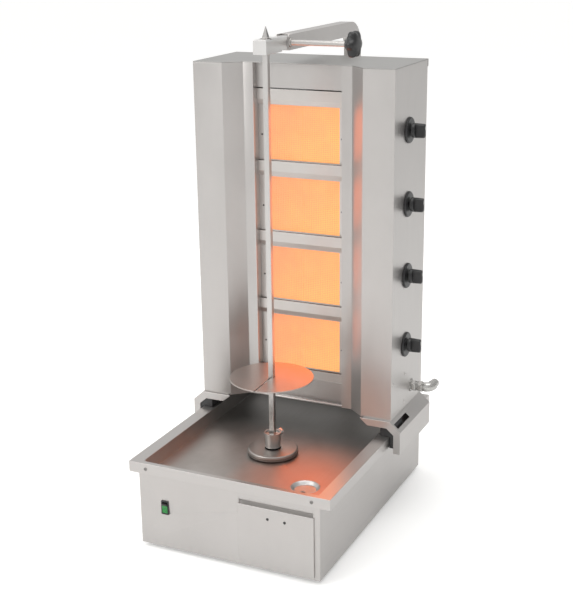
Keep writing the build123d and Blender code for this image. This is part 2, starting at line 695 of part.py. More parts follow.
with BuildPart() as switch_housing:
    with BuildSketch(Plane.XZ.offset(-BASE_FRONT)):
        with Locations((SWITCH_X, SWITCH_Z)):
            RectangleRounded(BEZEL_WIDTH, BEZEL_HEIGHT, BEZEL_CORNER)
    extrude(amount=BEZEL_PROUD)
    with BuildSketch(Plane.XZ.offset(-BASE_FRONT)):
        with Locations((SWITCH_X, SWITCH_Z)):
            Rectangle(SWITCH_CUT_WIDTH - SWITCH_FIT, SWITCH_CUT_HEIGHT - SWITCH_FIT)
    extrude(amount=-SWITCH_BODY_DEPTH)
    with BuildSketch(Plane.XZ.offset(-BASE_FRONT + BEZEL_PROUD)):
        with Locations((SWITCH_X, SWITCH_Z)):
            Rectangle(CAVITY_WIDTH, CAVITY_HEIGHT)
    extrude(amount=-(BEZEL_PROUD + CAVITY_DEPTH), mode=Mode.SUBTRACT)
    with BuildSketch(Plane.YZ.offset(SWITCH_X)):
        with Locations((switch_pivot_y, SWITCH_Z)):
            Circle(TRUNNION_RADIUS + RUNNING_GAP)
    extrude(amount=TRUNNION_HALF + TRUNNION_END_GAP, both=True, mode=Mode.SUBTRACT)
save(switch_housing, "switch_housing")

ROCKER_PROUD = 8.0
ROCKER_WAIST = 6.4
ROCKER_END_DEPTH = 1.0
ROCKER_MID_DEPTH = 3.5
ROCKER_BELLY_HALF = 5.0

# The rocker stands tilted in its "on" position, with its lower half pressed in.
tilt = math.radians(SWITCH_TILT)
rocker_plane = Plane(
    origin=(SWITCH_X, switch_pivot_y, SWITCH_Z),
    x_dir=(0, math.cos(tilt), math.sin(tilt)),
    z_dir=(1, 0, 0),
)
with BuildPart() as switch_rocker:
    with BuildSketch(rocker_plane):
        with BuildLine():
            Polyline(
                (-ROCKER_PROUD, ROCKER_HALF_HEIGHT),
                (-ROCKER_WAIST, 0),
                (-ROCKER_PROUD, -ROCKER_HALF_HEIGHT),
                (ROCKER_END_DEPTH, -ROCKER_HALF_HEIGHT),
                (ROCKER_MID_DEPTH, -ROCKER_BELLY_HALF),
                (ROCKER_MID_DEPTH, ROCKER_BELLY_HALF),
                (ROCKER_END_DEPTH, ROCKER_HALF_HEIGHT),
                close=True,
            )
        make_face()
    extrude(amount=ROCKER_WIDTH / 2, both=True)
    with BuildSketch(rocker_plane):
        Circle(TRUNNION_RADIUS)
    extrude(amount=TRUNNION_HALF, both=True)
save(switch_rocker, "switch_rocker")

# ---------------------------------------------------------------- mains gland at the back
GLAND_FIT = 0.2
GLAND_INSIDE = 12.0
GLAND_NUT_RADIUS = 14.0
GLAND_NUT_HEIGHT = 7.0
GLAND_CAP_RADIUS = 11.0
GLAND_CAP_HEIGHT = 14.0
GLAND_CAP_TAPER = 10.0
GLAND_BORE = 4.0
HEX_SIDES = 6
gland_axis = Plane(origin=(GLAND_X, BASE_REAR, GLAND_Z), x_dir=(1, 0, 0), z_dir=(0, 1, 0))
with BuildPart() as cable_gland:
    with BuildSketch(gland_axis.offset(-GLAND_INSIDE)):
        Circle(GLAND_RADIUS - GLAND_FIT)
    extrude(amount=GLAND_INSIDE)
    with BuildSketch(gland_axis):
        RegularPolygon(GLAND_NUT_RADIUS, HEX_SIDES)
    extrude(amount=GLAND_NUT_HEIGHT)
    with BuildSketch(gland_axis.offset(GLAND_NUT_HEIGHT)):
        Circle(GLAND_CAP_RADIUS)
    extrude(amount=GLAND_CAP_HEIGHT, taper=GLAND_CAP_TAPER)
    with BuildSketch(gland_axis.offset(-GLAND_INSIDE)):
        Circle(GLAND_BORE)
    extrude(amount=GLAND_INSIDE + GLAND_NUT_HEIGHT + GLAND_CAP_HEIGHT, mode=Mode.SUBTRACT)
save(cable_gland, "cable_gland")

# ---------------------------------------------------------------- rear post and top arm
POST_BOTTOM = 43.0
BRACKET_TOP = 175.0
BRACKET_SHEET = 3.0
BRACKET_WIDTH = 110.0
BRACKET_REAR_TOP = 120.0
BRACKET_OVERRUN = 1.0
POST_FRONT = ARM_BEND_Y + ARM_BEND_OUTER - (ARM_HIGH - ARM_LOW)
POST_REAR = ARM_BEND_Y + ARM_BEND_OUTER
channel_front = BASE_REAR + BRACKET_SHEET
channel_rear = POST_REAR + BRACKET_OVERRUN

with BuildPart() as post_bracket:
    with BuildSketch(Plane.XZ.offset(-BASE_REAR)):
        with Locations((0, (POST_BOTTOM - BRACKET_SHEET + BRACKET_TOP) / 2)):
            Rectangle(BRACKET_WIDTH, BRACKET_TOP - POST_BOTTOM + BRACKET_SHEET)
    extrude(amount=-BRACKET_SHEET)
    with BuildSketch(Plane.YZ):
        with BuildLine():
            Polyline(
                (BASE_REAR, POST_BOTTOM - BRACKET_SHEET),
                (POST_REAR, POST_BOTTOM - BRACKET_SHEET),
                (POST_REAR, BRACKET_REAR_TOP),
                (POST_FRONT, BRACKET_TOP),
                (BASE_REAR, BRACKET_TOP),
                close=True,
            )
        make_face()
    extrude(amount=ARM_HALF_WIDTH + BRACKET_SHEET, both=True)
    with BuildSketch(Plane.XY.offset(POST_BOTTOM)):
        with Locations((0, (channel_front + channel_rear) / 2)):
            Rectangle(2 * ARM_HALF_WIDTH, channel_rear - channel_front)
    extrude(amount=BRACKET_TOP - POST_BOTTOM, mode=Mode.SUBTRACT)
save(post_bracket, "post_bracket")


def arm_section(inset, overrun):
    """Side view of the bent post and arm; the inset outline runs out past both open ends."""
    bend_z = ARM_HIGH - ARM_BEND_OUTER
    inner = ARM_BEND_OUTER - (ARM_HIGH - ARM_LOW) + inset
    outer = ARM_BEND_OUTER - inset
    front = ARM_FRONT - overrun
    bottom = POST_BOTTOM - overrun
    with BuildSketch() as section:
        with BuildLine():
            Line((ARM_BEND_Y + inner, bottom), (ARM_BEND_Y + inner, bend_z))
            CenterArc((ARM_BEND_Y, bend_z), inner, 0, 90)
            Line((ARM_BEND_Y, bend_z + inner), (front, bend_z + inner))
            Line((front, bend_z + inner), (front, bend_z + outer))
            Line((front, bend_z + outer), (ARM_BEND_Y, bend_z + outer))
            CenterArc((ARM_BEND_Y, bend_z), outer, 0, 90)
            Line((ARM_BEND_Y + outer, bend_z), (ARM_BEND_Y + outer, bottom))
            Line((ARM_BEND_Y + outer, bottom), (ARM_BEND_Y + inner, bottom))
        make_face()
    return section.sketch


NOTCH_REAR = 20.0
ARM_OVERRUN = 1.0
notch_front = ARM_FRONT - ARM_OVERRUN
# Square tube bent once: it rises behind the tower and reaches forward over the roof to the spit.
with BuildPart() as arm_post:
    with BuildSketch(Plane.YZ):
        add(arm_section(0, 0))
    extrude(amount=ARM_HALF_WIDTH, both=True)
    with BuildSketch(Plane.YZ):
        add(arm_section(ARM_WALL, ARM_OVERRUN))
    extrude(amount=ARM_HALF_WIDTH - ARM_WALL, both=True, mode=Mode.SUBTRACT)
    with BuildSketch(Plane.XY.offset(ARM_HIGH - 2 * ARM_WALL)):
        with Locations((0, (notch_front + NOTCH_REAR) / 2)):
            Rectangle(2 * (ARM_HALF_WIDTH - ARM_WALL), NOTCH_REAR - notch_front)
    extrude(amount=4 * ARM_WALL, mode=Mode.SUBTRACT)
    with BuildSketch(Plane.YZ):
        with Locations((PIVOT_Y, PIVOT_Z)):
            Circle(CLAMP_ROD_RADIUS + RUNNING_GAP)
    extrude(amount=2 * ARM_HALF_WIDTH, both=True, mode=Mode.SUBTRACT)
save(arm_post, "arm_post")

BLOCK_FRONT = -113.0
BLOCK_REAR = -37.0
BLOCK_LOW = 1077.0
BLOCK_HIGH = 1107.5
BUSH_OUTER = 13.5
BUSH_INNER = 11.0
TONGUE_HALF_WIDTH = 12.8
TONGUE_HALF_HEIGHT = 13.4
BLOCK_ROUND = 5.0

# Bearing block that guides the top of the spit; its tongue is hinged in the end of the arm.
with BuildPart() as bearing_block:
    with BuildSketch(Plane.XY.offset(BLOCK_LOW)):
        with Locations((0, (BLOCK_FRONT + BLOCK_REAR) / 2)):
            Rectangle(2 * ARM_HALF_WIDTH, BLOCK_REAR - BLOCK_FRONT)
    extrude(amount=BLOCK_HIGH - BLOCK_LOW)
    top_long = bearing_block.faces().sort_by(Axis.Z)[-1].edges().filter_by(Axis.Y)
    fillet(top_long, radius=BLOCK_ROUND)
    with BuildSketch(Plane.YZ):
        with Locations((PIVOT_Y, PIVOT_Z)):
            Circle(TONGUE_HALF_HEIGHT)
        with Locations(((BLOCK_REAR + PIVOT_Y) / 2, PIVOT_Z)):
            Rectangle(PIVOT_Y - BLOCK_REAR, 2 * TONGUE_HALF_HEIGHT)
        with Locations((PIVOT_Y + TONGUE_HALF_HEIGHT / 2, PIVOT_Z + TONGUE_HALF_HEIGHT / 2)):
            Rectangle(TONGUE_HALF_HEIGHT, TONGUE_HALF_HEIGHT)
    extrude(amount=TONGUE_HALF_WIDTH, both=True)
    with BuildSketch(Plane.YZ):
        with Locations((PIVOT_Y, PIVOT_Z)):
            Circle(CLAMP_ROD_RADIUS + RUNNING_GAP)
    extrude(amount=2 * ARM_HALF_WIDTH, both=True, mode=Mode.SUBTRACT)
    with BuildSketch(Plane.XY.offset(BLOCK_LOW)):
        with Locations((0, SPIT_Y)):
            Circle(BUSH_OUTER)
    extrude(amount=BLOCK_HIGH - BLOCK_LOW, mode=Mode.SUBTRACT)
save(bearing_block, "bearing_block")

with BuildPart() as bearing_bush:
    with BuildSketch(Plane.XY.offset(BLOCK_LOW)):
        with Locations((0, SPIT_Y)):
            Circle(BUSH_OUTER)
            Circle(BUSH_INNER, mode=Mode.SUBTRACT)
    extrude(amount=BLOCK_HIGH - BLOCK_LOW)
save(bearing_bush, "bearing_bush")

CLAMP_HEAD_X = -24.0
CLAMP_ROD_END = 166.0
STAR_LOW_X = 153.0
STAR_HIGH_X = 173.0
STAR_HUB_LENGTH = 10.0
STAR_RADIUS = 30.0
STAR_LOBES = 6
STAR_LOBE_RADIUS = 9.0
STAR_NOTCH_RADIUS = 8.0
STAR_EDGE = 4.0
STAR_CHAMFER = 3.0
STAR_NECK_INSET = 10.0
STAR_NECK_TAPER = 45.0
CLAMP_HEAD_RADIUS = 9.0
CLAMP_HEAD_LENGTH = 7.0
CLAMP_WASHER_GAP = 0.4
CLAMP_WASHER_RADIUS = 10.0
CLAMP_WASHER_THICKNESS = 3.0
clamp_axis = Plane(origin=(0, PIVOT_Y, PIVOT_Z), x_dir=(0, 1, 0), z_dir=(1, 0, 0))

with BuildPart() as clamp_rod:
    with BuildSketch(clamp_axis.offset(CLAMP_HEAD_X)):
        Circle(CLAMP_ROD_RADIUS)
    extrude(amount=CLAMP_ROD_END - CLAMP_HEAD_X)
    with BuildSketch(clamp_axis.offset(CLAMP_HEAD_X)):
        RegularPolygon(CLAMP_HEAD_RADIUS, HEX_SIDES)
    extrude(amount=CLAMP_HEAD_LENGTH)
    with BuildSketch(clamp_axis.offset(ARM_HALF_WIDTH + CLAMP_WASHER_GAP)):
        Circle(CLAMP_WASHER_RADIUS)
    extrude(amount=CLAMP_WASHER_THICKNESS)
save(clamp_rod, "clamp_rod")

with BuildPart() as star_knob:
    with BuildSketch(clamp_axis.offset(STAR_LOW_X)):
        Circle(STAR_RADIUS - STAR_EDGE)
        with PolarLocations(STAR_RADIUS - STAR_LOBE_RADIUS, STAR_LOBES):
            Circle(STAR_LOBE_RADIUS)
        with PolarLocations(STAR_RADIUS + STAR_EDGE, STAR_LOBES, start_angle=180.0 / STAR_LOBES):
            Circle(STAR_NOTCH_RADIUS, mode=Mode.SUBTRACT)
    extrude(amount=STAR_HIGH_X - STAR_LOW_X)
    chamfer(star_knob.faces().sort_by(Axis.X)[-1].edges(), length=STAR_CHAMFER)
    with BuildSketch(clamp_axis.offset(STAR_LOW_X)):
        Circle(STAR_RADIUS - STAR_NECK_INSET)
    extrude(amount=-STAR_HUB_LENGTH, taper=STAR_NECK_TAPER)
    with BuildSketch(clamp_axis.offset(STAR_LOW_X - STAR_HUB_LENGTH)):
        Circle(CLAMP_ROD_RADIUS)
    extrude(amount=CLAMP_ROD_END - STAR_LOW_X + STAR_HUB_LENGTH, mode=Mode.SUBTRACT)
save(star_knob, "star_knob")

# ---------------------------------------------------------------- burner tower panels
ROOF_LIP_DROP = 17.0
ROOF_LIP_PROUD = 6.0
WALL_TOP = TOWER_TOP - SHEET
WING_RETURN = 8.0

wing_points = [
    (TOWER_HALF, TOWER_REAR - SHEET),
    (TOWER_HALF, TOWER_FRONT),
    (WING_INNER, TOWER_FRONT),
    (BEVEL_INNER, STRIP_Y),
    (RECESS_HALF, STRIP_Y),
    (RECESS_HALF, RECESS_Y + WING_RETURN),
]
STEM_HOLE = 7.0
NIPPLE_RADIUS = 8.0
NIPPLE_CLEARANCE = 0.5

with BuildPart() as tower_wing_right:
    with BuildSketch(Plane.XY.offset(TOWER_BOTTOM)):
        add(sheet_section(wing_points))
    extrude(amount=WALL_TOP - TOWER_BOTTOM)
    with BuildSketch(Plane.YZ.offset(TOWER_HALF)):
        with Locations(*[(KNOB_Y, z) for z in knob_heights]):
            Circle(STEM_HOLE)
        with Locations((INLET_Y, INLET_Z)):
            Circle(NIPPLE_RADIUS + NIPPLE_CLEARANCE)
    extrude(amount=2 * SHEET, both=True, mode=Mode.SUBTRACT)
save(tower_wing_right, "tower_wing_right")

with BuildPart() as tower_wing_left:
    with BuildSketch(Plane.XY.offset(TOWER_BOTTOM)):
        add(sheet_section(mirrored(wing_points), -SHEET))
    extrude(amount=WALL_TOP - TOWER_BOTTOM)
save(tower_wing_left, "tower_wing_left")

BACK_VENT_HEIGHTS = (400.0, 900.0)
BACK_VENT_X = 110.0
BACK_VENT_LENGTH = 120.0
BACK_VENT_HEIGHT = 5.0
BACK_VENT_PITCH = 14.0
BACK_VENT_COUNT = 9
with BuildPart() as tower_back_panel:
    with BuildSketch(Plane.XZ.offset(-TOWER_REAR)):
        with Locations((0, (TOWER_BOTTOM + WALL_TOP) / 2)):
            Rectangle(2 * TOWER_HALF, WALL_TOP - TOWER_BOTTOM)
        for vent_z in BACK_VENT_HEIGHTS:
            for vent_x in (-BACK_VENT_X, BACK_VENT_X):
                with Locations((vent_x, vent_z)):
                    with GridLocations(0, BACK_VENT_PITCH, 1, BACK_VENT_COUNT):
                        SlotOverall(BACK_VENT_LENGTH, BACK_VENT_HEIGHT, mode=Mode.SUBTRACT)
    extrude(amount=SHEET)
save(tower_back_panel, "tower_back_panel")

roof_outline = [
    (TOWER_HALF, TOWER_REAR + ROOF_LIP_PROUD),
    (TOWER_HALF, TOWER_FRONT),
    (WING_INNER, TOWER_FRONT),
    (BEVEL_INNER, STRIP_Y),
]
with BuildPart() as tower_roof:
    with BuildSketch(Plane.XY.offset(WALL_TOP)):
        with BuildLine():
            Polyline(*roof_outline, *reversed(mirrored(roof_outline)), close=True)
        make_face()
    extrude(amount=SHEET)
    with BuildSketch(Plane.XY.offset(TOWER_TOP - ROOF_LIP_DROP)):
        with Locations((0, TOWER_REAR + ROOF_LIP_PROUD - SHEET / 2)):
            Rectangle(2 * TOWER_HALF, SHEET)
    extrude(amount=ROOF_LIP_DROP)
save(tower_roof, "tower_roof")

PLATE_CLEARANCE = 2.5
floor_outline = [
    (TOWER_HALF - SHEET, TOWER_REAR - SHEET),
    (TOWER_HALF - SHEET, TOWER_FRONT + SHEET),
    (WING_INNER + PLATE_CLEARANCE, TOWER_FRONT + SHEET),
    (BEVEL_INNER + PLATE_CLEARANCE, STRIP_Y + SHEET),
    (RECESS_HALF + SHEET, STRIP_Y + SHEET),
    (RECESS_HALF + SHEET, RECESS_Y + WING_RETURN),
]
with BuildPart() as tower_base_plate:
    with BuildSketch(Plane.XY.offset(TOWER_BOTTOM)):
        with BuildLine():
            Polyline(*floor_outline, *reversed(mirrored(floor_outline)), close=True)
        make_face()
    extrude(amount=SHEET)
save(tower_base_plate, "tower_base_plate")

HEADER_BOTTOM = 983.0
LOWER_TOP = 297.0
LIP_RADIUS = 2.6
LIP_Y = 70.0
with BuildPart() as header_panel:
    with BuildSketch(Plane.XZ.offset(-(RECESS_Y + SHEET))):
        with Locations((0, (HEADER_BOTTOM + WALL_TOP) / 2)):
            Rectangle(2 * RECESS_HALF, WALL_TOP - HEADER_BOTTOM)
    extrude(amount=SHEET)
save(header_panel, "header_panel")

# Panel under the lowest burner, rolled forward into a rounded lip along its bottom edge.
with BuildPart() as lower_panel:
    with BuildSketch(Plane.YZ):
        with Locations((RECESS_Y - SHEET / 2, (TOWER_BOTTOM + LOWER_TOP) / 2)):
            Rectangle(SHEET, LOWER_TOP - TOWER_BOTTOM)
        with Locations(((LIP_Y + RECESS_Y) / 2, TOWER_BOTTOM + SHEET / 2)):
            Rectangle(RECESS_Y - LIP_Y, SHEET)
        with Locations((LIP_Y, TOWER_BOTTOM + LIP_RADIUS)):
            Circle(LIP_RADIUS)
    extrude(amount=RECESS_HALF, both=True)
save(lower_panel, "lower_panel")

# ---------------------------------------------------------------- burners
BAR_FACE = 24.0
BAR_SLOPE = 12.0
BAR_DEPTH = 7.0
BAR_SKIN = 1.5
FRAME_FRONT = RECESS_Y + BAR_DEPTH
FRAME_SKIN = 1.5
FRAME_HALF_HEIGHT = 78.0
BAR_DROP = 2.5
PLAQUE_SETBACK = 4.0
bar_tops = [z - WINDOW_HALF_HEIGHT - BAR_DROP for z in burner_heights]
bar_tops.append(HEADER_BOTTOM - BAR_DROP)

# Folded cross bar: a top flange, an upright face, then a slope back down to the frame below.
bar_points = [
    (RECESS_Y + BAR_DEPTH, 0),
    (RECESS_Y, 0),
    (RECESS_Y, -BAR_FACE),
    (RECESS_Y + BAR_DEPTH - BAR_SKIN, -BAR_FACE - BAR_SLOPE),
]
with BuildPart() as burner_bars:
    for bar_top in bar_tops:
        with BuildSketch(Plane.YZ):
            with Locations((0, bar_top)):
                add(sheet_section(bar_points, -BAR_SKIN))
        extrude(amount=RECESS_HALF, both=True)
save(burner_bars, "burner_bars")

frame_back = FRAME_FRONT + FRAME_SKIN
with BuildPart() as burner_frames:
    with BuildSketch(Plane.XZ.offset(-frame_back)):
        with Locations(*[(0, z) for z in burner_heights]):
            Rectangle(2 * RECESS_HALF, 2 * FRAME_HALF_HEIGHT)
            Rectangle(2 * WINDOW_HALF_WIDTH, 2 * WINDOW_HALF_HEIGHT, mode=Mode.SUBTRACT)
    extrude(amount=FRAME_SKIN)
save(burner_frames, "burner_frames")

MESH_SKIN = 1.0
PLAQUE_DEPTH = 13.0
PLAQUE_GAP = 1.5
HOUSING_HALF_WIDTH = 96.0
HOUSING_HALF_HEIGHT = 68.0
HOUSING_DEPTH = 58.0
HOUSING_WALL = 2.0
MIXER_RADIUS = 9.0
VALVE_INNER_X = 196.0
housing_inner_half = HOUSING_HALF_WIDTH - HOUSING_WALL
housing_inner_height = 2 * (HOUSING_HALF_HEIGHT - HOUSING_WALL)

with BuildPart() as burner_meshes:
    with BuildSketch(Plane.XZ.offset(-(frame_back + MESH_SKIN))):
        with Locations(*[(0, z) for z in burner_heights]):
            Rectangle(2 * housing_inner_half, housing_inner_height)
    extrude(amount=MESH_SKIN)
save(burner_meshes, "burner_meshes")

plaque_front = frame_back + PLAQUE_SETBACK
plaque_width = housing_inner_half - PLAQUE_GAP / 2
with BuildPart() as ceramic_plaques:
    with BuildSketch(Plane.XZ.offset(-(plaque_front + PLAQUE_DEPTH))):
        for z in burner_heights:
            with Locations((0, z)):
                with GridLocations(plaque_width + PLAQUE_GAP, 0, 2, 1):
                    Rectangle(plaque_width, housing_inner_height)
    extrude(amount=PLAQUE_DEPTH)
save(ceramic_plaques, "ceramic_plaques")

# Burner boxes, each with a mixing tube that runs out to its gas valve.
with BuildPart() as burner_housings:
    for z in burner_heights:
        with BuildSketch(Plane.XZ.offset(-(frame_back + HOUSING_DEPTH))):
            with Locations((0, z)):
                Rectangle(2 * HOUSING_HALF_WIDTH, 2 * HOUSING_HALF_HEIGHT)
        extrude(amount=HOUSING_DEPTH)
        with BuildSketch(Plane.XZ.offset(-(frame_back + HOUSING_DEPTH - HOUSING_WALL))):
            with Locations((0, z)):
                Rectangle(2 * housing_inner_half, housing_inner_height)
        extrude(amount=HOUSING_DEPTH, mode=Mode.SUBTRACT)
        with BuildSketch(Plane.YZ.offset(HOUSING_HALF_WIDTH)):
            with Locations((KNOB_Y, z + KNOB_RISE)):
                Circle(MIXER_RADIUS)
                Circle(MIXER_RADIUS - HOUSING_WALL, mode=Mode.SUBTRACT)
        extrude(amount=VALVE_INNER_X - HOUSING_HALF_WIDTH)
save(burner_housings, "burner_housings")

# ---------------------------------------------------------------- gas train
MANIFOLD_X = 205.0
MANIFOLD_RADIUS = 11.0
VALVE_RADIUS = 13.0
VALVE_OUTER_X = 238.0
STEM_RADIUS = 4.0
STEM_INNER_X = 222.0
STEM_OUTER_X = 268.0
STEM_SQUARE = 6.0
MANIFOLD_END = 14.0
MANIFOLD_RISE = 20.0
BRANCH_RADIUS = 6.0
BRANCH_BITE = 0.6
STEM_SPACE = 2.0
manifold_bottom = INLET_Z - MANIFOLD_END
manifold_length = knob_heights[-1] + MANIFOLD_RISE - manifold_bottom

with BuildPart() as gas_manifold:
    with BuildSketch(Plane.XY.offset(manifold_bottom)):
        with Locations((MANIFOLD_X, INLET_Y)):
            Circle(MANIFOLD_RADIUS)
    extrude(amount=manifold_length)
save(gas_manifold, "gas_manifold")

with BuildPart() as gas_valves:
    for z in knob_heights:
        with BuildSketch(Plane.YZ.offset(VALVE_INNER_X)):
            with Locations((KNOB_Y, z)):
                Circle(VALVE_RADIUS)
        extrude(amount=VALVE_OUTER_X - VALVE_INNER_X)
        with BuildSketch(Plane.XZ.offset(-KNOB_Y)):
            with Locations((MANIFOLD_X, z)):
                Circle(BRANCH_RADIUS)
        extrude(amount=-(INLET_Y - MANIFOLD_RADIUS + BRANCH_BITE - KNOB_Y))
        with BuildSketch(Plane.YZ.offset(STEM_INNER_X - STEM_SPACE)):
            with Locations((KNOB_Y, z)):
                Circle(STEM_RADIUS + RUNNING_GAP)
        extrude(amount=VALVE_OUTER_X - STEM_INNER_X + STEM_SPACE, mode=Mode.SUBTRACT)
    with BuildSketch(Plane.XY.offset(manifold_bottom)):
        with Locations((MANIFOLD_X, INLET_Y)):
            Circle(MANIFOLD_RADIUS)
    extrude(amount=manifold_length, mode=Mode.SUBTRACT)
save(gas_valves, "gas_valves")

BEZEL_RADIUS = 29.0
KNOB_BEZEL_DEPTH = 5.0
BEZEL_HOLE_GAP = 2.0
BEZEL_CHAMFER = 2.0
bezel_face = TOWER_HALF + KNOB_BEZEL_DEPTH
with BuildPart() as knob_bezels:
    for z in knob_heights:
        with BuildSketch(Plane.YZ.offset(TOWER_HALF)):
            with Locations((KNOB_Y, z)):
                Circle(BEZEL_RADIUS)
                Circle(STEM_RADIUS + BEZEL_HOLE_GAP, mode=Mode.SUBTRACT)
        extrude(amount=KNOB_BEZEL_DEPTH)
    outer_rims = knob_bezels.edges().filter_by(GeomType.CIRCLE).group_by(Axis.X)[-1]
    chamfer(outer_rims.filter_by(lambda edge: edge.radius > BEZEL_RADIUS / 2), length=BEZEL_CHAMFER)
save(knob_bezels, "knob_bezels")

KNOB_TRAVEL = 3.0
KNOB_BODY_RADIUS = 16.5
KNOB_BODY_DEPTH = 9.0
GRIP_THICKNESS = 14.0
GRIP_DEPTH = 20.0
GRIP_INSET = 1.0
KNOB_EDGE = 1.5
KNOB_GAP = 0.5
STEM_FIT = 0.2
knob_inner = bezel_face + KNOB_TRAVEL + KNOB_GAP
knob_socket_depth = STEM_OUTER_X - knob_inner + KNOB_TRAVEL + KNOB_GAP
for number, z in enumerate(knob_heights, start=1):
    with BuildPart() as valve_stem:
        with BuildSketch(Plane.YZ.offset(STEM_INNER_X)):
            with Locations((KNOB_Y, z)):
                Circle(STEM_RADIUS)
        extrude(amount=bezel_face - STEM_INNER_X)
        with BuildSketch(Plane.YZ.offset(bezel_face)):
            with Locations((KNOB_Y, z)):
                Rectangle(STEM_SQUARE, STEM_SQUARE)
        extrude(amount=STEM_OUTER_X - bezel_face)
    save(valve_stem, f"valve_stem_{number}")

    with BuildPart() as burner_knob:
        with BuildSketch(Plane.YZ.offset(knob_inner)):
            with Locations((KNOB_Y, z)):
                Circle(KNOB_BODY_RADIUS)
        extrude(amount=KNOB_BODY_DEPTH)
        chamfer(burner_knob.faces().sort_by(Axis.X)[-1].edges(), length=KNOB_EDGE)
        with BuildSketch(Plane.YZ.offset(knob_inner + KNOB_BODY_DEPTH)):
            with Locations((KNOB_Y, z)):
                Rectangle(GRIP_THICKNESS, 2 * KNOB_BODY_RADIUS - GRIP_INSET)
        extrude(amount=GRIP_DEPTH)
        fillet(burner_knob.faces().sort_by(Axis.X)[-1].edges(), radius=KNOB_EDGE)
        with BuildSketch(Plane.YZ.offset(knob_inner)):
            with Locations((KNOB_Y, z)):
                Rectangle(STEM_SQUARE + STEM_FIT, STEM_SQUARE + STEM_FIT)
        extrude(amount=knob_socket_depth, mode=Mode.SUBTRACT)
    save(burner_knob, f"burner_knob_{number}")

# Bulkhead nipple with a lock nut outside the wall, and a swept elbow whose outlet points backwards.
inlet_axis = Plane(origin=(0, INLET_Y, INLET_Z), x_dir=(0, 1, 0), z_dir=(1, 0, 0))
ELBOW_X = 290.0
ELBOW_RADIUS = 14.0
OUTLET_LENGTH = 36.0
OUTLET_RADIUS = 10.5
OUTLET_BORE = 7.0
OUTLET_BORE_START = 4.0
NIPPLE_GAP = 0.5
INLET_NUT_RADIUS = 13.5
INLET_WASHER_RADIUS = 15.0
INLET_NECK_RADIUS = 11.0
washer_end = TOWER_HALF + 3.0
lock_nut_end = washer_end + 9.0
neck_end = lock_nut_end + 6.0
union_nut_end = neck_end + 12.0
nipple_start = MANIFOLD_X + MANIFOLD_RADIUS - NIPPLE_GAP
outlet_axis = Plane(origin=(ELBOW_X, INLET_Y, INLET_Z), x_dir=(1, 0, 0), z_dir=(0, 1, 0))
with BuildPart() as gas_inlet:
    with BuildSketch(inlet_axis.offset(nipple_start)):
        Circle(NIPPLE_RADIUS)
    extrude(amount=ELBOW_X - nipple_start)
    with BuildSketch(Plane.XY.offset(manifold_bottom)):
        with Locations((MANIFOLD_X, INLET_Y)):
            Circle(MANIFOLD_RADIUS)
    extrude(amount=2 * MANIFOLD_END, mode=Mode.SUBTRACT)
    with BuildSketch(inlet_axis.offset(TOWER_HALF)):
        Circle(INLET_WASHER_RADIUS)
    extrude(amount=washer_end - TOWER_HALF)
    with BuildSketch(inlet_axis.offset(washer_end)):
        RegularPolygon(INLET_NUT_RADIUS, HEX_SIDES)
    extrude(amount=lock_nut_end - washer_end)
    with BuildSketch(inlet_axis.offset(lock_nut_end)):
        Circle(INLET_NECK_RADIUS)
    extrude(amount=neck_end - lock_nut_end)
    with BuildSketch(inlet_axis.offset(neck_end)):
        RegularPolygon(INLET_NUT_RADIUS, HEX_SIDES)
    extrude(amount=union_nut_end - neck_end)
    with Locations((ELBOW_X, INLET_Y, INLET_Z)):
        Sphere(ELBOW_RADIUS)
    with BuildSketch(outlet_axis):
        Circle(OUTLET_RADIUS)
    extrude(amount=OUTLET_LENGTH)
    with BuildSketch(outlet_axis.offset(OUTLET_BORE_START)):
        Circle(OUTLET_BORE)
    extrude(amount=OUTLET_LENGTH, mode=Mode.SUBTRACT)
save(gas_inlet, "gas_inlet")

# ---------------------------------------------------------------- tower carriage
SLANT_TOP_X = TOWER_HALF
RETURN_X = 255.0
CARRIAGE_INNER = CARRIAGE_HALF - CARRIAGE_BAND
FLANGE_INSET = 6.0
BAND_BOTTOM = TOWER_BOTTOM - CARRIAGE_BAND
skirt_points = [
    (WING_INNER + FLANGE_INSET, TOWER_BOTTOM),
    (SLANT_TOP_X, TOWER_BOTTOM),
    (CARRIAGE_HALF, CARRIAGE_KNEE),
    (CARRIAGE_HALF, CARRIAGE_LOW),
    (RETURN_X, CARRIAGE_LOW),
]
end_plate_points = [
    (SLANT_TOP_X, TOWER_BOTTOM),
    (CARRIAGE_HALF, CARRIAGE_KNEE),
    (CARRIAGE_HALF, CARRIAGE_LOW),
    (CARRIAGE_INNER, CARRIAGE_LOW),
    (CARRIAGE_INNER, CARRIAGE_KNEE - 9.0),
    (SLANT_TOP_X - 8.0, BAND_BOTTOM),
    (WING_INNER + 18.5, BAND_BOTTOM),
    (WING_INNER + 4.0, TOWER_BOTTOM - 5.0),
    (WING_INNER - 1.0, TOWER_BOTTOM),
]
SLOT_LENGTH = 79.0
SLOT_HEIGHT = 13.6
SLOT_MID_Y = 76.0
slant = math.atan2(TOWER_BOTTOM - CARRIAGE_KNEE, CARRIAGE_HALF - SLANT_TOP_X)
slant_mid_x = (SLANT_TOP_X + CARRIAGE_HALF) / 2
slant_mid_z = (TOWER_BOTTOM + CARRIAGE_KNEE) / 2


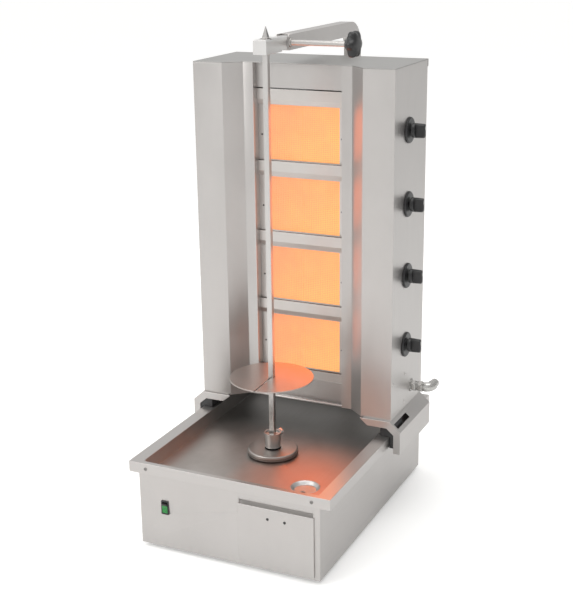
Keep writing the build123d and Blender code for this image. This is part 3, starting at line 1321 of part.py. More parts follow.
def carriage(side):
    """One carriage skirt: folded sheet closed by an end plate at each end; side is 1 or -1."""
    skirt = [(side * x, z) for x, z in skirt_points]
    plate = [(side * x, z) for x, z in end_plate_points]
    with BuildPart() as body:
        with BuildSketch(Plane.XZ.offset(-CARRIAGE_REAR)):
            add(sheet_section(skirt, side * SHEET))
        extrude(amount=CARRIAGE_REAR - CARRIAGE_FRONT)
        for plate_rear in (CARRIAGE_FRONT + SHEET, CARRIAGE_REAR):
            with BuildSketch(Plane.XZ.offset(-plate_rear)):
                with BuildLine():
                    Polyline(*plate, close=True)
                make_face()
            extrude(amount=SHEET)
        slot_plane = Plane(
            origin=(side * slant_mid_x, SLOT_MID_Y, slant_mid_z),
            x_dir=(0, 1, 0),
            z_dir=(side * math.sin(slant), 0, math.cos(slant)),
        )
        with BuildSketch(slot_plane):
            Rectangle(SLOT_LENGTH, SLOT_HEIGHT)
        extrude(amount=2 * SHEET, both=True, mode=Mode.SUBTRACT)
    return body


save(carriage(1), "carriage_right")
save(carriage(-1), "carriage_left")

PAD_GAP = 0.3
PAD_LENGTH = 60.0
PAD_INNER = 219.5
PAD_LOW = 178.0
PAD_KNEE = 226.0
PAD_TOP_X = 239.0
rail_side = RIM_WIDTH / 2 + PAD_GAP
rail_top = RIM_TOP + PAD_GAP
pad_top = TOWER_BOTTOM - SHEET
pad_points = [
    (PAD_INNER, rail_top),
    (rail_side, rail_top),
    (rail_side, PAD_LOW),
    (CARRIAGE_INNER, PAD_LOW),
    (CARRIAGE_INNER, PAD_KNEE),
    (PAD_TOP_X, pad_top),
    (PAD_INNER, pad_top),
]
with BuildPart() as slider_pads:
    for side in (1, -1):
        pad = [(side * x, z) for x, z in pad_points]
        for pad_rear in (CARRIAGE_FRONT + SHEET + PAD_LENGTH, CARRIAGE_REAR - SHEET):
            with BuildSketch(Plane.XZ.offset(-pad_rear)):
                with BuildLine():
                    Polyline(*pad, close=True)
                make_face()
            extrude(amount=PAD_LENGTH)
save(slider_pads, "slider_pads")

# ---------------------------------------------------------------- screws
PANEL_SCREW_X = 200.0
PANEL_SCREW_Z = 192.0
PANEL_SCREW_RADIUS = 4.0
PANEL_SCREW_HEIGHT = 1.6
BRACKET_BOLT_X = 40.0
BRACKET_BOLT_HEIGHTS = (70.0, 145.0)
BRACKET_BOLT_RADIUS = 7.0
BRACKET_BOLT_HEIGHT = 5.0
with BuildPart() as base_screws:
    with BuildSketch(Plane.XZ.offset(-(BASE_FRONT - SHEET))):
        with Locations((-PANEL_SCREW_X, PANEL_SCREW_Z), (PANEL_SCREW_X, PANEL_SCREW_Z)):
            Circle(PANEL_SCREW_RADIUS)
    extrude(amount=PANEL_SCREW_HEIGHT)
    with BuildSketch(Plane.XZ.offset(-(BASE_REAR + BRACKET_SHEET))):
        for bolt_z in BRACKET_BOLT_HEIGHTS:
            with Locations((-BRACKET_BOLT_X, bolt_z), (BRACKET_BOLT_X, bolt_z)):
                RegularPolygon(BRACKET_BOLT_RADIUS, HEX_SIDES)
    extrude(amount=-BRACKET_BOLT_HEIGHT)
save(base_screws, "base_screws")

SIDE_SCREW_RADIUS = 4.0
SIDE_SCREW_HEIGHT = 1.8
SIDE_SCREWS = [(47.6, 328.0), (128.0, 327.5), (124.5, 260.0)]
with BuildPart() as tower_screws:
    for side in (1, -1):
        with BuildSketch(Plane.YZ.offset(side * TOWER_HALF)):
            with Locations(*SIDE_SCREWS):
                Circle(SIDE_SCREW_RADIUS)
        extrude(amount=side * SIDE_SCREW_HEIGHT)
save(tower_screws, "tower_screws")

DRAWER_SCREWS = [(98.0, 132.0), (138.0, 132.0)]
DRAWER_SCREW_RADIUS = 3.2
DRAWER_SCREW_HEIGHT = 1.2
with BuildPart() as drawer_screws:
    with BuildSketch(Plane.XZ.offset(-(BASE_FRONT - DRAWER_PLATE))):
        with Locations(*DRAWER_SCREWS):
            Circle(DRAWER_SCREW_RADIUS)
    extrude(amount=DRAWER_SCREW_HEIGHT)
save(drawer_screws, "drawer_screws")
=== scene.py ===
import json
import math

import bmesh
import bpy
from mathutils import Matrix, Vector


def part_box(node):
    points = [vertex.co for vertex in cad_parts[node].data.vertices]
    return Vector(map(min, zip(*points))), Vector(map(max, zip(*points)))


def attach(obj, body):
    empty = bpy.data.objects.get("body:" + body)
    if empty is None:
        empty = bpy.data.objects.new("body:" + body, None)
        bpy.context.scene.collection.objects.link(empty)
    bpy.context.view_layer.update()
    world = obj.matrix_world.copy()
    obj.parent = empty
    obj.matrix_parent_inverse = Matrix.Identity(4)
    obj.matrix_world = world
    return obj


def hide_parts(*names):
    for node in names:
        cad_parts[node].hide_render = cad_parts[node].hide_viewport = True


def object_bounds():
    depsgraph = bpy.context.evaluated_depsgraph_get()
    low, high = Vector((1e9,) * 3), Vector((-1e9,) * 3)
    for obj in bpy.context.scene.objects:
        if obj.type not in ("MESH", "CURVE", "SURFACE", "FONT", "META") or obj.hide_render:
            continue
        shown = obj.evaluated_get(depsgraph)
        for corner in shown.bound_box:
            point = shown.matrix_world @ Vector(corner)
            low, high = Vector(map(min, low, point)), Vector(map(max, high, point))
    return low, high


# A vertical rotisserie broiler in a plain studio. Metres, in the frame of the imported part:
# origin on the floor between the feet, X to the right, Y to the back, Z up.

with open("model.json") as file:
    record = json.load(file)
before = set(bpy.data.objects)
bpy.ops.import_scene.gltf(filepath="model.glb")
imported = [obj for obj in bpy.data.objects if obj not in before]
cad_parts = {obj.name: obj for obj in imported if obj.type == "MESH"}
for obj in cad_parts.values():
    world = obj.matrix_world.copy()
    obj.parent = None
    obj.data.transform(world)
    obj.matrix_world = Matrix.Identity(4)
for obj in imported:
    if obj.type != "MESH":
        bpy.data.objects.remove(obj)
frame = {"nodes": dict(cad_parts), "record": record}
cad_low, cad_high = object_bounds()
nodes = frame["nodes"]
record = frame["record"]
slot_of = {part["node"]: part["material_slot"] for part in record["subparts"]}
body_of = {node: body for body, members in record["behaviour"]["bodies"].items() for node in members}
joint_of = {joint["name"]: joint for joint in record["behaviour"]["joints"]}

# ---------------------------------------------------------------- node tree helpers
# Nearly all of a noise texture lies between these two values.
NOISE_LOW = 0.3
NOISE_HIGH = 0.7


def feed(tree, target, value):
    """Links a socket to an input, or sets the input to a plain value."""
    if isinstance(value, bpy.types.NodeSocket):
        tree.links.new(value, target)
    else:
        target.default_value = value


def add_node(tree, kind, settings=None, inputs=None):
    """Adds a shader node; inputs are numbers, colours or sockets to link from."""
    made = tree.nodes.new(kind)
    for key, value in (settings or {}).items():
        setattr(made, key, value)
    for key, value in (inputs or {}).items():
        feed(tree, made.inputs[key], value)
    return made


def new_material(name):
    """An empty material with one Principled shader."""
    material = bpy.data.materials.new(name)
    material.use_nodes = True
    tree = material.node_tree
    tree.nodes.clear()
    shader = add_node(tree, "ShaderNodeBsdfPrincipled")
    add_node(tree, "ShaderNodeOutputMaterial", inputs={"Surface": shader.outputs["BSDF"]})
    return material, tree, shader


def object_coords(tree, scale=(1, 1, 1)):
    """Places on the machine at rest, stretched by scale."""
    coords = add_node(tree, "ShaderNodeTexCoord").outputs["Object"]
    mapping = add_node(tree, "ShaderNodeMapping", inputs={"Vector": coords, "Scale": scale})
    return mapping.outputs["Vector"]


def noise(tree, vector, scale=1.0, detail=2.0, rough=0.5):
    made = add_node(
        tree,
        "ShaderNodeTexNoise",
        inputs={"Vector": vector, "Scale": scale, "Detail": detail, "Roughness": rough},
    )
    return made.outputs["Fac"]


def remap(tree, value, low, high, to_low=0.0, to_high=1.0):
    """Stretches low to high over to_low to to_high, and holds the ends beyond them."""
    made = add_node(
        tree,
        "ShaderNodeMapRange",
        inputs={"Value": value, "From Min": low, "From Max": high, "To Min": to_low, "To Max": to_high},
    )
    return made.outputs["Result"]


def vary(tree, value, low, high):
    """Spreads a noise over low to high."""
    return remap(tree, value, NOISE_LOW, NOISE_HIGH, low, high)


def maths(tree, operation, first, second=None):
    made = add_node(tree, "ShaderNodeMath", {"operation": operation}, {0: first})
    if second is not None:
        feed(tree, made.inputs[1], second)
    return made.outputs["Value"]


def product(tree, first, *others):
    """All the factors multiplied together."""
    for other in others:
        first = maths(tree, "MULTIPLY", first, other)
    return first


def blend_values(tree, factor, first, second):
    made = add_node(
        tree, "ShaderNodeMix", {"data_type": "FLOAT"}, {"Factor": factor, "A": first, "B": second}
    )
    return made.outputs["Result"]


def blend_colours(tree, factor, first, second):
    """Mixes two colours; each is a socket or red, green and blue."""
    made = add_node(tree, "ShaderNodeMix", {"data_type": "RGBA"})
    for name, kind, value in (("Factor", "VALUE", factor), ("A", "RGBA", first), ("B", "RGBA", second)):
        target = next(socket for socket in made.inputs if socket.name == name and socket.type == kind)
        feed(tree, target, (*value, 1.0) if isinstance(value, tuple) else value)
    return next(socket for socket in made.outputs if socket.type == "RGBA")


def coordinate(tree, kind, axis):
    """One axis of a texture coordinate: Object is the place on the machine, Normal where a face looks."""
    vector = add_node(tree, "ShaderNodeTexCoord").outputs[kind]
    return add_node(tree, "ShaderNodeSeparateXYZ", inputs={"Vector": vector}).outputs[axis]


def raise_surface(tree, shader, height, strength, distance):
    """Gives the shader the relief of a height value."""
    bump = add_node(
        tree, "ShaderNodeBump", inputs={"Height": height, "Strength": strength, "Distance": distance}
    )
    tree.links.new(bump.outputs["Normal"], shader.inputs["Normal"])


# ---------------------------------------------------------------- materials
GRAIN_ALONG = 5.0
GRAIN_ACROSS = 420.0
STREAK_SCALES = {
    "X": (GRAIN_ALONG, GRAIN_ACROSS, GRAIN_ACROSS),
    "Y": (GRAIN_ACROSS, GRAIN_ALONG, GRAIN_ACROSS),
    "Z": (GRAIN_ACROSS, GRAIN_ACROSS, GRAIN_ALONG),
}


FACING = 0.7
FACING_UP = 0.6
SURFACE_RELIEF = 0.0002
WIPE_STRETCH = (3.0, 3.0, 2.0)
WIPE_DARKENING = 1.6
GRAIN_SHADE = 0.35
SOOT_COLOUR = (0.2, 0.17, 0.15)


def brushed(tree, axis):
    """Fine streaks along one axis."""
    return noise(tree, object_coords(tree, STREAK_SCALES[axis]), detail=3.0, rough=0.65)


def streaks(tree, grain):
    """Brushed grain along one axis; "wrap" runs level around the machine's upright walls."""
    if grain != "wrap":
        return brushed(tree, grain)
    sideways = maths(tree, "ABSOLUTE", coordinate(tree, "Normal", "X"))
    side_wall = maths(tree, "GREATER_THAN", sideways, FACING)
    return blend_values(tree, side_wall, brushed(tree, "X"), brushed(tree, "Y"))


def scaled(colour, share):
    """A colour made lighter or darker."""
    return tuple(min(1.0, part * share) for part in colour)


def steel(
    name, colour, roughness, grain="wrap", depth=0.08, smudge=0.04, soot=0.0, soot_colour=SOOT_COLOUR
):
    """Brushed stainless steel with grain, faint wipe marks and, near the heat, some brown film."""
    material, tree, shader = new_material(name)
    grain_value = streaks(tree, grain)
    wipes = noise(tree, object_coords(tree, WIPE_STRETCH), scale=2.4, detail=5.0, rough=0.6)
    darker = scaled(colour, 1 - smudge * WIPE_DARKENING)
    lighter = scaled(colour, 1 + smudge)
    tone = blend_colours(tree, vary(tree, wipes, 0.0, 1.0), darker, lighter)
    shade = remap(tree, grain_value, 0.35, 0.75, GRAIN_SHADE, 0.0)
    tone = blend_colours(tree, shade, tone, scaled(colour, 1 - smudge))
    if soot:
        film = noise(tree, object_coords(tree), scale=9.0, detail=6.0, rough=0.62)
        tone = blend_colours(tree, remap(tree, film, 0.42, 0.78, 0.0, soot), tone, soot_colour)
    tree.links.new(tone, shader.inputs["Base Color"])
    shader.inputs["Metallic"].default_value = 1.0
    fine = vary(tree, grain_value, roughness - 0.03, roughness + 0.05)
    wiped = vary(tree, wipes, -0.02, 0.04)
    tree.links.new(maths(tree, "ADD", fine, wiped), shader.inputs["Roughness"])
    raise_surface(tree, shader, grain_value, depth, SURFACE_RELIEF)
    return material


def recolour_where(material, mask_of, colour, roughness=None):
    """Lays a second colour over a finished material where mask_of(tree) is 1."""
    tree = material.node_tree
    shader = next(node for node in tree.nodes if node.type == "BSDF_PRINCIPLED")
    old = shader.inputs["Base Color"].links[0].from_socket
    mask = mask_of(tree)
    tree.links.new(blend_colours(tree, mask, old, colour), shader.inputs["Base Color"])
    if roughness is not None:
        rough = shader.inputs["Roughness"].links[0].from_socket
        tree.links.new(blend_values(tree, mask, rough, roughness), shader.inputs["Roughness"])
    return material


def lit_inside(material, mask_of, colour):
    """Adds the soft light that gathers in a recess where mask_of(tree) is 1."""
    tree = material.node_tree
    shader = next(node for node in tree.nodes if node.type == "BSDF_PRINCIPLED")
    shader.inputs["Emission Color"].default_value = (*colour, 1.0)
    tree.links.new(mask_of(tree), shader.inputs["Emission Strength"])
    return material


def plastic(name, colour, roughness, speckle=900.0, depth=0.15, dust=0.04):
    """Moulded plastic or rubber with a fine surface texture and a little dust."""
    material, tree, shader = new_material(name)
    texture = noise(tree, object_coords(tree), scale=speckle, detail=2.0)
    cloud = noise(tree, object_coords(tree), scale=22.0, detail=4.0)
    dusty = tuple(min(1.0, c + dust) for c in colour)
    tone = blend_colours(tree, remap(tree, cloud, 0.4, 0.75), colour, dusty)
    tree.links.new(tone, shader.inputs["Base Color"])
    tree.links.new(vary(tree, cloud, roughness - 0.06, roughness + 0.1), shader.inputs["Roughness"])
    raise_surface(tree, shader, texture, depth, SURFACE_RELIEF)
    return material


PLAQUE_LOW, PLAQUE_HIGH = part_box("ceramic_plaques")
PLAQUE_HALF_WIDTH = 0.093
PORT_SCALE = 420.0
PORT_GLOW = 0.30
PORT_RELIEF = 0.0005
ROCKER_WINDOW_TOP = 0.0055
BURNER_COUNT = 4
BURNER_HEIGHT = 0.132
BURNER_PITCH = (PLAQUE_HIGH.z - PLAQUE_LOW.z - BURNER_HEIGHT) / (BURNER_COUNT - 1)
burner_middles = [PLAQUE_LOW.z + BURNER_HEIGHT / 2 + BURNER_PITCH * i for i in range(BURNER_COUNT)]


def glowing_ceramic():
    """Red-hot perforated plaques: peach at the upper left, yellow at the lower right of each burner."""
    material, tree, shader = new_material("plaque_glow")
    height = maths(tree, "SUBTRACT", coordinate(tree, "Object", "Z"), PLAQUE_LOW.z)
    in_burner = maths(tree, "FRACT", maths(tree, "DIVIDE", height, BURNER_PITCH))
    across = remap(tree, coordinate(tree, "Object", "X"), -PLAQUE_HALF_WIDTH, PLAQUE_HALF_WIDTH)
    rightness = maths(tree, "MULTIPLY", across, 0.55)
    lowness = maths(tree, "MULTIPLY", in_burner, -0.5)
    warmth = remap(tree, maths(tree, "ADD", rightness, lowness), -0.40, 0.45)
    patches = noise(tree, object_coords(tree), scale=26.0, detail=4.0, rough=0.6)
    warmth = maths(tree, "ADD", warmth, vary(tree, patches, -0.14, 0.14))
    peach = (0.90, 0.29, 0.17)
    yellow = (1.0, 0.53, 0.16)
    tone = blend_colours(tree, warmth, peach, yellow)
    ports = add_node(
        tree,
        "ShaderNodeTexVoronoi",
        inputs={"Vector": object_coords(tree), "Scale": PORT_SCALE, "Randomness": 0.0},
    )
    hot_port = remap(tree, ports.outputs["Distance"], 0.1, 0.45, 1.0, 0.0)
    tone = blend_colours(tree, maths(tree, "MULTIPLY", hot_port, PORT_GLOW), tone, (1.0, 0.68, 0.34))
    tree.links.new(tone, shader.inputs["Emission Color"])
    shader.inputs["Emission Strength"].default_value = 1.0
    shader.inputs["Base Color"].default_value = (0.35, 0.16, 0.08, 1.0)
    shader.inputs["Roughness"].default_value = 0.9
    raise_surface(tree, shader, hot_port, 0.4, PORT_RELIEF)
    return material


def hot_wire():
    """Heat-stained wire that glows dull orange in front of the plaques."""
    material, tree, shader = new_material("guard_wire")
    stain = noise(tree, object_coords(tree), scale=40.0, detail=4.0)
    tone = blend_colours(tree, stain, (0.42, 0.23, 0.13), (0.60, 0.36, 0.22))
    tree.links.new(tone, shader.inputs["Base Color"])
    shader.inputs["Metallic"].default_value = 0.6
    tree.links.new(vary(tree, stain, 0.45, 0.65), shader.inputs["Roughness"])
    glow = blend_colours(tree, stain, (0.80, 0.27, 0.12), (0.92, 0.36, 0.15))
    tree.links.new(glow, shader.inputs["Emission Color"])
    shader.inputs["Emission Strength"].default_value = 0.62
    return material


def lit_rocker(pivot_z):
    """Rocker with a lit green window over most of its face and a black upper end."""
    material, tree, shader = new_material("rocker_green")
    lower = below(pivot_z + ROCKER_WINDOW_TOP)(tree)
    grain = noise(tree, object_coords(tree), scale=260.0, detail=3.0)
    green = blend_colours(tree, grain, (0.008, 0.12, 0.02), (0.015, 0.22, 0.045))
    tone = blend_colours(tree, lower, (0.02, 0.02, 0.02), green)
    tree.links.new(tone, shader.inputs["Base Color"])
    tree.links.new(tone, shader.inputs["Emission Color"])
    tree.links.new(maths(tree, "MULTIPLY", lower, 0.3), shader.inputs["Emission Strength"])
    tree.links.new(vary(tree, grain, 0.18, 0.3), shader.inputs["Roughness"])
    return material


def facing_up(tree):
    """1 on faces that look up, 0 elsewhere."""
    return maths(tree, "GREATER_THAN", coordinate(tree, "Normal", "Z"), FACING_UP)


def below(height):
    """A mask maker: 1 under the given height over the floor."""
    return lambda tree: maths(tree, "LESS_THAN", coordinate(tree, "Object", "Z"), height)


def above(height):
    """A mask maker: 1 over the given height over the floor."""
    return lambda tree: maths(tree, "SUBTRACT", 1.0, below(height)(tree))


def fade(tree, axis, low, high):
    """0 to 1 between two places along an axis of the machine."""
    return remap(tree, coordinate(tree, "Object", axis), low, high)


# The finger recess lies behind the front panel; its light starts RECESS_EDGE inside its outline.
RECESS_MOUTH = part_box("base_front_panel")[0].y
RECESS_LEFT = 0.0262
RECESS_RIGHT = 0.2062
RECESS_BOTTOM = 0.1345
RECESS_TOP = 0.1722
RECESS_EDGE = 0.0006
RECESS_SILL = 0.0010
RECESS_FULL_LIGHT = 0.0070


def in_recess(tree):
    """Grows with the depth of the finger recess behind the plane of the front panel."""
    return product(
        tree,
        fade(tree, "Y", RECESS_MOUTH + RECESS_EDGE, RECESS_MOUTH + RECESS_FULL_LIGHT),
        fade(tree, "X", RECESS_LEFT, RECESS_LEFT + RECESS_EDGE),
        fade(tree, "X", RECESS_RIGHT, RECESS_RIGHT - RECESS_EDGE),
        fade(tree, "Z", RECESS_BOTTOM, RECESS_BOTTOM + RECESS_SILL),
        fade(tree, "Z", RECESS_TOP, RECESS_TOP - RECESS_EDGE),
    )


# Edges of the sunken part of the tray; the rim's tone sets in over RIM_BLUR.
RIM_SIDE = 0.2105
RIM_FRONT = -0.3035
RIM_REAR = 0.285
RIM_BLUR = 0.002


def on_rim(tree):
    """1 on the rim of the tray, 0 in its sunken part."""
    side = maths(tree, "ABSOLUTE", coordinate(tree, "Object", "X"))
    rim = remap(tree, side, RIM_SIDE, RIM_SIDE + RIM_BLUR)
    rim = maths(tree, "MAXIMUM", rim, fade(tree, "Y", RIM_FRONT, RIM_FRONT - RIM_BLUR))
    return maths(tree, "MAXIMUM", rim, fade(tree, "Y", RIM_REAR, RIM_REAR + RIM_BLUR))


# Painted light: an orange pool of the burners' glow, laid on the tray's colour.
GLOW_POOL_MIDDLE = (0.150, -0.20)
GLOW_POOL_REACH = (0.20, 0.23)
GLOW_POOL_STRENGTH = 0.42


def painted_glow_pool(tree):
    """Painted light: a soft orange patch at the right front of the tray, where the burners' glow gathers."""
    squares = []
    for axis, middle, reach in zip("XY", GLOW_POOL_MIDDLE, GLOW_POOL_REACH):
        offset = maths(tree, "SUBTRACT", coordinate(tree, "Object", axis), middle)
        share = maths(tree, "DIVIDE", offset, reach)
        squares.append(maths(tree, "MULTIPLY", share, share))
    patch = remap(tree, maths(tree, "ADD", *squares), 0.0, 1.0, 1.0, 0.0)
    return maths(tree, "MULTIPLY", patch, GLOW_POOL_STRENGTH)


REAR_SHADE_START = 0.01
REAR_SHADE_END = 0.22
REAR_SHADE_STRENGTH = 0.85


def shaded_rear(tree):
    """Grows towards the tower, which stands over the rear of the tray."""
    return maths(tree, "MULTIPLY", fade(tree, "Y", REAR_SHADE_START, REAR_SHADE_END), REAR_SHADE_STRENGTH)


# Painted shade: the hub's neck under HUB_SHADE_LINE is painted near-black, as the shadow in the gap under
# the hub.
HUB_FOOT = 0.0034
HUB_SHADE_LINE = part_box("drive_hub")[0].z + HUB_FOOT
# Painted shade: the cap's skirt under CAP_SHADE_LINE is painted darker, as a soft shadow just above the
# tray.
CAP_SHADE_LINE = 0.1785
SPIT_SHOULDER = 1.1106
WARM_GREY = (0.53, 0.512, 0.50)

materials = {
    "satin_steel": steel("satin_level", WARM_GREY, 0.36, "wrap"),
    "satin_upright": steel("satin_upright", WARM_GREY, 0.36, "Z"),
    "panel_steel": steel("panel_satin", WARM_GREY, 0.36, "wrap"),
    "tray_steel": steel("tray_satin", (0.47, 0.45, 0.43), 0.43, "Y", depth=0.05, smudge=0.05, soot=0.30),
    "disc_steel": steel("disc_satin", (0.42, 0.375, 0.35), 0.32, "X", smudge=0.06),
    "cap_steel": steel("cap_satin", (0.40, 0.37, 0.35), 0.34, "X", depth=0.06, smudge=0.05),
    "roof_steel": steel("roof_satin", (0.40, 0.395, 0.385), 0.40, "X"),
    "block_steel": steel("block_fine", (0.74, 0.73, 0.72), 0.30, "Y", depth=0.04, smudge=0.02),
    "hub_steel": steel("hub_turned", (0.50, 0.48, 0.465), 0.30, "X", depth=0.05),
    "bright_steel": steel("bright_fine", (0.66, 0.645, 0.63), 0.26, "Z", depth=0.06),
    "spit_steel": steel("spit_fine", (0.60, 0.585, 0.57), 0.28, "Z", depth=0.06),
    "rod_steel": steel("rod_fine", (0.50, 0.485, 0.47), 0.34, "X", depth=0.02, smudge=0.02),
    "grey_screw": steel("screw_grey", (0.30, 0.29, 0.28), 0.45, "Z", depth=0.06, smudge=0.08),
    "dark_screw": steel("screw_dark", (0.09, 0.09, 0.09), 0.38, "Z", depth=0.06, smudge=0.08),
    "hidden_steel": steel("mill_finish", (0.50, 0.49, 0.48), 0.42, "X", depth=0.12, smudge=0.08),
    "heat_steel": steel(
        "heat_satin", (0.60, 0.575, 0.555), 0.36, "X", smudge=0.05, soot=0.10, soot_colour=(0.45, 0.32, 0.24)
    ),
    "black_plastic": plastic("black_moulded", (0.018, 0.018, 0.019), 0.50),
    "knob_plastic": plastic(
        "knob_black", (0.012, 0.012, 0.013), 0.36, speckle=1200.0, depth=0.08, dust=0.012
    ),
    "foot_rubber": plastic("foot_black", (0.02, 0.02, 0.02), 0.75, speckle=600.0, depth=0.3),
    "pointer_white": plastic("pointer_white", (0.75, 0.75, 0.73), 0.45, depth=0.05, dust=0.02),
    "switch_green": lit_rocker(Vector(joint_of["rocker_tilt"]["pos_m"]).z),
    "plaque_ceramic": glowing_ceramic(),
    "guard_mesh": hot_wire(),
    "cast_metal": plastic("cast_grey", (0.32, 0.32, 0.32), 0.5, speckle=300.0, depth=0.35),
    "motor_paint": plastic("motor_dark", (0.04, 0.045, 0.05), 0.45),
    "gear_steel": steel("gear_oiled", (0.42, 0.41, 0.40), 0.28, "Z", depth=0.12, smudge=0.1),
    "fitting_brass": steel("fitting_nickel", (0.52, 0.515, 0.50), 0.26, "Y", depth=0.06, smudge=0.05),
}
# Painted shade: faces of the heat steel that look up are painted near-black, as the shadow on the tops of
# the burner bars.
recolour_where(materials["heat_steel"], facing_up, (0.10, 0.085, 0.075))
# Painted shade: near-black neck under the hub, standing in for the shadow in the gap beneath it.
recolour_where(materials["hub_steel"], below(HUB_SHADE_LINE), (0.015, 0.014, 0.013), roughness=0.6)
# Painted shade: the lower skirt of the drip cap is painted darker, a soft shadow over the tray.
recolour_where(materials["cap_steel"], below(CAP_SHADE_LINE), (0.22, 0.20, 0.19), roughness=0.5)
recolour_where(materials["spit_steel"], above(SPIT_SHOULDER), (0.30, 0.295, 0.29), roughness=0.45)
recolour_where(materials["tray_steel"], shaded_rear, (0.15, 0.143, 0.137))
# Painted light: the burners' orange glow painted onto the right front of the tray.
recolour_where(materials["tray_steel"], painted_glow_pool, (0.88, 0.30, 0.14))
recolour_where(materials["tray_steel"], on_rim, WARM_GREY, roughness=0.36)
lit_inside(materials["panel_steel"], in_recess, (0.17, 0.164, 0.158))

SPECIAL = {
    "tower_wing_left": "satin_upright",
    "tower_wing_right": "satin_upright",
    "tower_back_panel": "satin_upright",
    "header_panel": "satin_upright",
    "lower_panel": "satin_upright",
    "arm_post": "satin_upright",
    "meat_disc": "disc_steel",
    "drip_cap": "cap_steel",
    "base_front_panel": "panel_steel",
    "base_screws": "grey_screw",
    "drain_dish": "satin_steel",
    "spit_rod": "spit_steel",
    "clamp_rod": "rod_steel",
    "tower_roof": "roof_steel",
    "bearing_block": "block_steel",
    "drive_hub": "hub_steel",
    "drawer_screws": "dark_screw",
}


def material_for(node):
    return materials[SPECIAL.get(node, slot_of[node])]


for name, piece in nodes.items():
    piece.data.materials.clear()
    piece.data.materials.append(material_for(name))

# ---------------------------------------------------------------- mesh helpers
WELD_DISTANCE = 1e-6
FLAT_WITHIN = math.radians(0.4)
ROUND_OVER = math.radians(30)
UP = (0, 0, 1)
RIGHT = (1, 0, 0)


def finish_piece(mesh, name, node, replace=True, material=None, smooth_below=35.0):
    """Puts a mesh into the scene on the body of its CAD node, in that node's finish."""
    piece = bpy.data.objects.new(name, mesh)
    bpy.context.scene.collection.objects.link(piece)
    mesh.materials.clear()
    mesh.materials.append(material or material_for(node))
    mesh.polygons.foreach_set("use_smooth", [True] * len(mesh.polygons))
    mesh.set_sharp_from_angle(angle=math.radians(smooth_below))
    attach(piece, body_of[node])
    if replace:
        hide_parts(node)
    return piece


def welded(node):
    """The mesh of a CAD node for editing, with its doubled corners merged."""
    bm = bmesh.new()
    bm.from_mesh(nodes[node].data)
    bmesh.ops.remove_doubles(bm, verts=bm.verts, dist=WELD_DISTANCE)
    return bm


def softened(node, width):
    """The CAD piece with its sharp edges broken by a small round, as deburred sheet metal has."""
    bm = welded(node)
    bmesh.ops.dissolve_limit(
        bm, angle_limit=FLAT_WITHIN, verts=bm.verts, edges=bm.edges, delimit={"NORMAL"}
    )
    mesh = bpy.data.meshes.new(f"{node}_soft")
    bm.to_mesh(mesh)
    bm.free()
    piece = finish_piece(mesh, f"{node}_soft", node)
    bevel = piece.modifiers.new("edge_round", "BEVEL")
    bevel.width = width
    bevel.segments = 2
    bevel.limit_method = "ANGLE"
    bevel.angle_limit = ROUND_OVER
    bevel.use_clamp_overlap = True
    bevel.harden_normals = True
    bevel.miter_outer = "MITER_ARC"
    return piece


SOFT_EDGES = {
    "base_shell": 0.0006,
    "base_front_panel": 0.0006,
    "drawer_front": 0.0005,
    "drip_tray": 0.0007,
    "drain_dish": 0.0008,
    "tower_wing_left": 0.0008,
    "tower_wing_right": 0.0008,
    "tower_roof": 0.0006,
    "tower_back_panel": 0.0004,
    "header_panel": 0.0005,
    "lower_panel": 0.0004,
    "burner_bars": 0.0005,
    "burner_frames": 0.0004,
    "carriage_left": 0.0007,
    "carriage_right": 0.0007,
    "arm_post": 0.0010,
    "post_bracket": 0.0007,
    "bearing_block": 0.0010,
    "meat_disc": 0.0006,
    "slider_pads": 0.0008,
    "drive_hub": 0.0006,
    "drip_cap": 0.0004,
    "disc_collar": 0.0006,
    "clamp_rod": 0.0005,
    "switch_housing": 0.0006,
    "switch_rocker": 0.0006,
    "knob_bezels": 0.0006,
    "rubber_feet": 0.0010,
    "cable_gland": 0.0005,
}
for node_name, edge_width in SOFT_EDGES.items():
    softened(node_name, edge_width)


def tube_faces(rings, around):
    """Faces of a closed form built from rings that have the same number of points."""
    faces = []
    for ring in range(rings - 1):
        low = ring * around
        high = low + around
        for step in range(around):
            after = (step + 1) % around
            faces.append((low + step, low + after, high + after, high + step))
    faces.append(tuple(reversed(range(around))))
    faces.append(tuple(range((rings - 1) * around, rings * around)))
    return faces


def turned(rows, origin, axis, start=UP, segments=64, lobes=0):
    """A closed lathe form: rows hold distance along the axis, radius and depth of the lobes.

    start is the direction, square to the axis, in which the first lobe points.
    """
    along = Vector(axis).normalized()
    side = Vector(start).normalized()
    up = along.cross(side)
    verts = []
    for distance, radius, swell in rows:
        for step in range(segments):
            angle = 2 * math.pi * step / segments
            reach = radius + swell * math.cos(lobes * angle)
            spoke = side * math.cos(angle) + up * math.sin(angle)
            verts.append(origin + along * distance + spoke * reach)
    return verts, tube_faces(len(rows), segments)


def joined(name, forms):
    """One mesh from several (verts, faces) forms."""
    verts, faces = [], []
    for form_verts, form_faces in forms:
        base = len(verts)
        verts.extend(form_verts)
        faces.extend(tuple(base + index for index in face) for face in form_faces)
    mesh = bpy.data.meshes.new(name)
    mesh.from_pydata(verts, [], faces)
    bm = bmesh.new()
    bm.from_mesh(mesh)
    bmesh.ops.recalc_face_normals(bm, faces=bm.faces)
    bm.to_mesh(mesh)
    bm.free()
    return mesh


def separate_solids(node):
    """Lowest and highest corner of each separate solid in a CAD node."""
    bm = welded(node)
    seen = set()
    boxes = []
    for first in bm.verts:
        if first.index in seen:
            continue
        stack = [first]
        members = []
        seen.add(first.index)
        while stack:
            vert = stack.pop()
            members.append(vert.co.copy())
            for edge in vert.link_edges:
                other = edge.other_vert(vert)
                if other.index not in seen:
                    seen.add(other.index)
                    stack.append(other)
        low = Vector([min(co[i] for co in members) for i in range(3)])
        high = Vector([max(co[i] for co in members) for i in range(3)])
        boxes.append((low, high))
    bm.free()
    return boxes


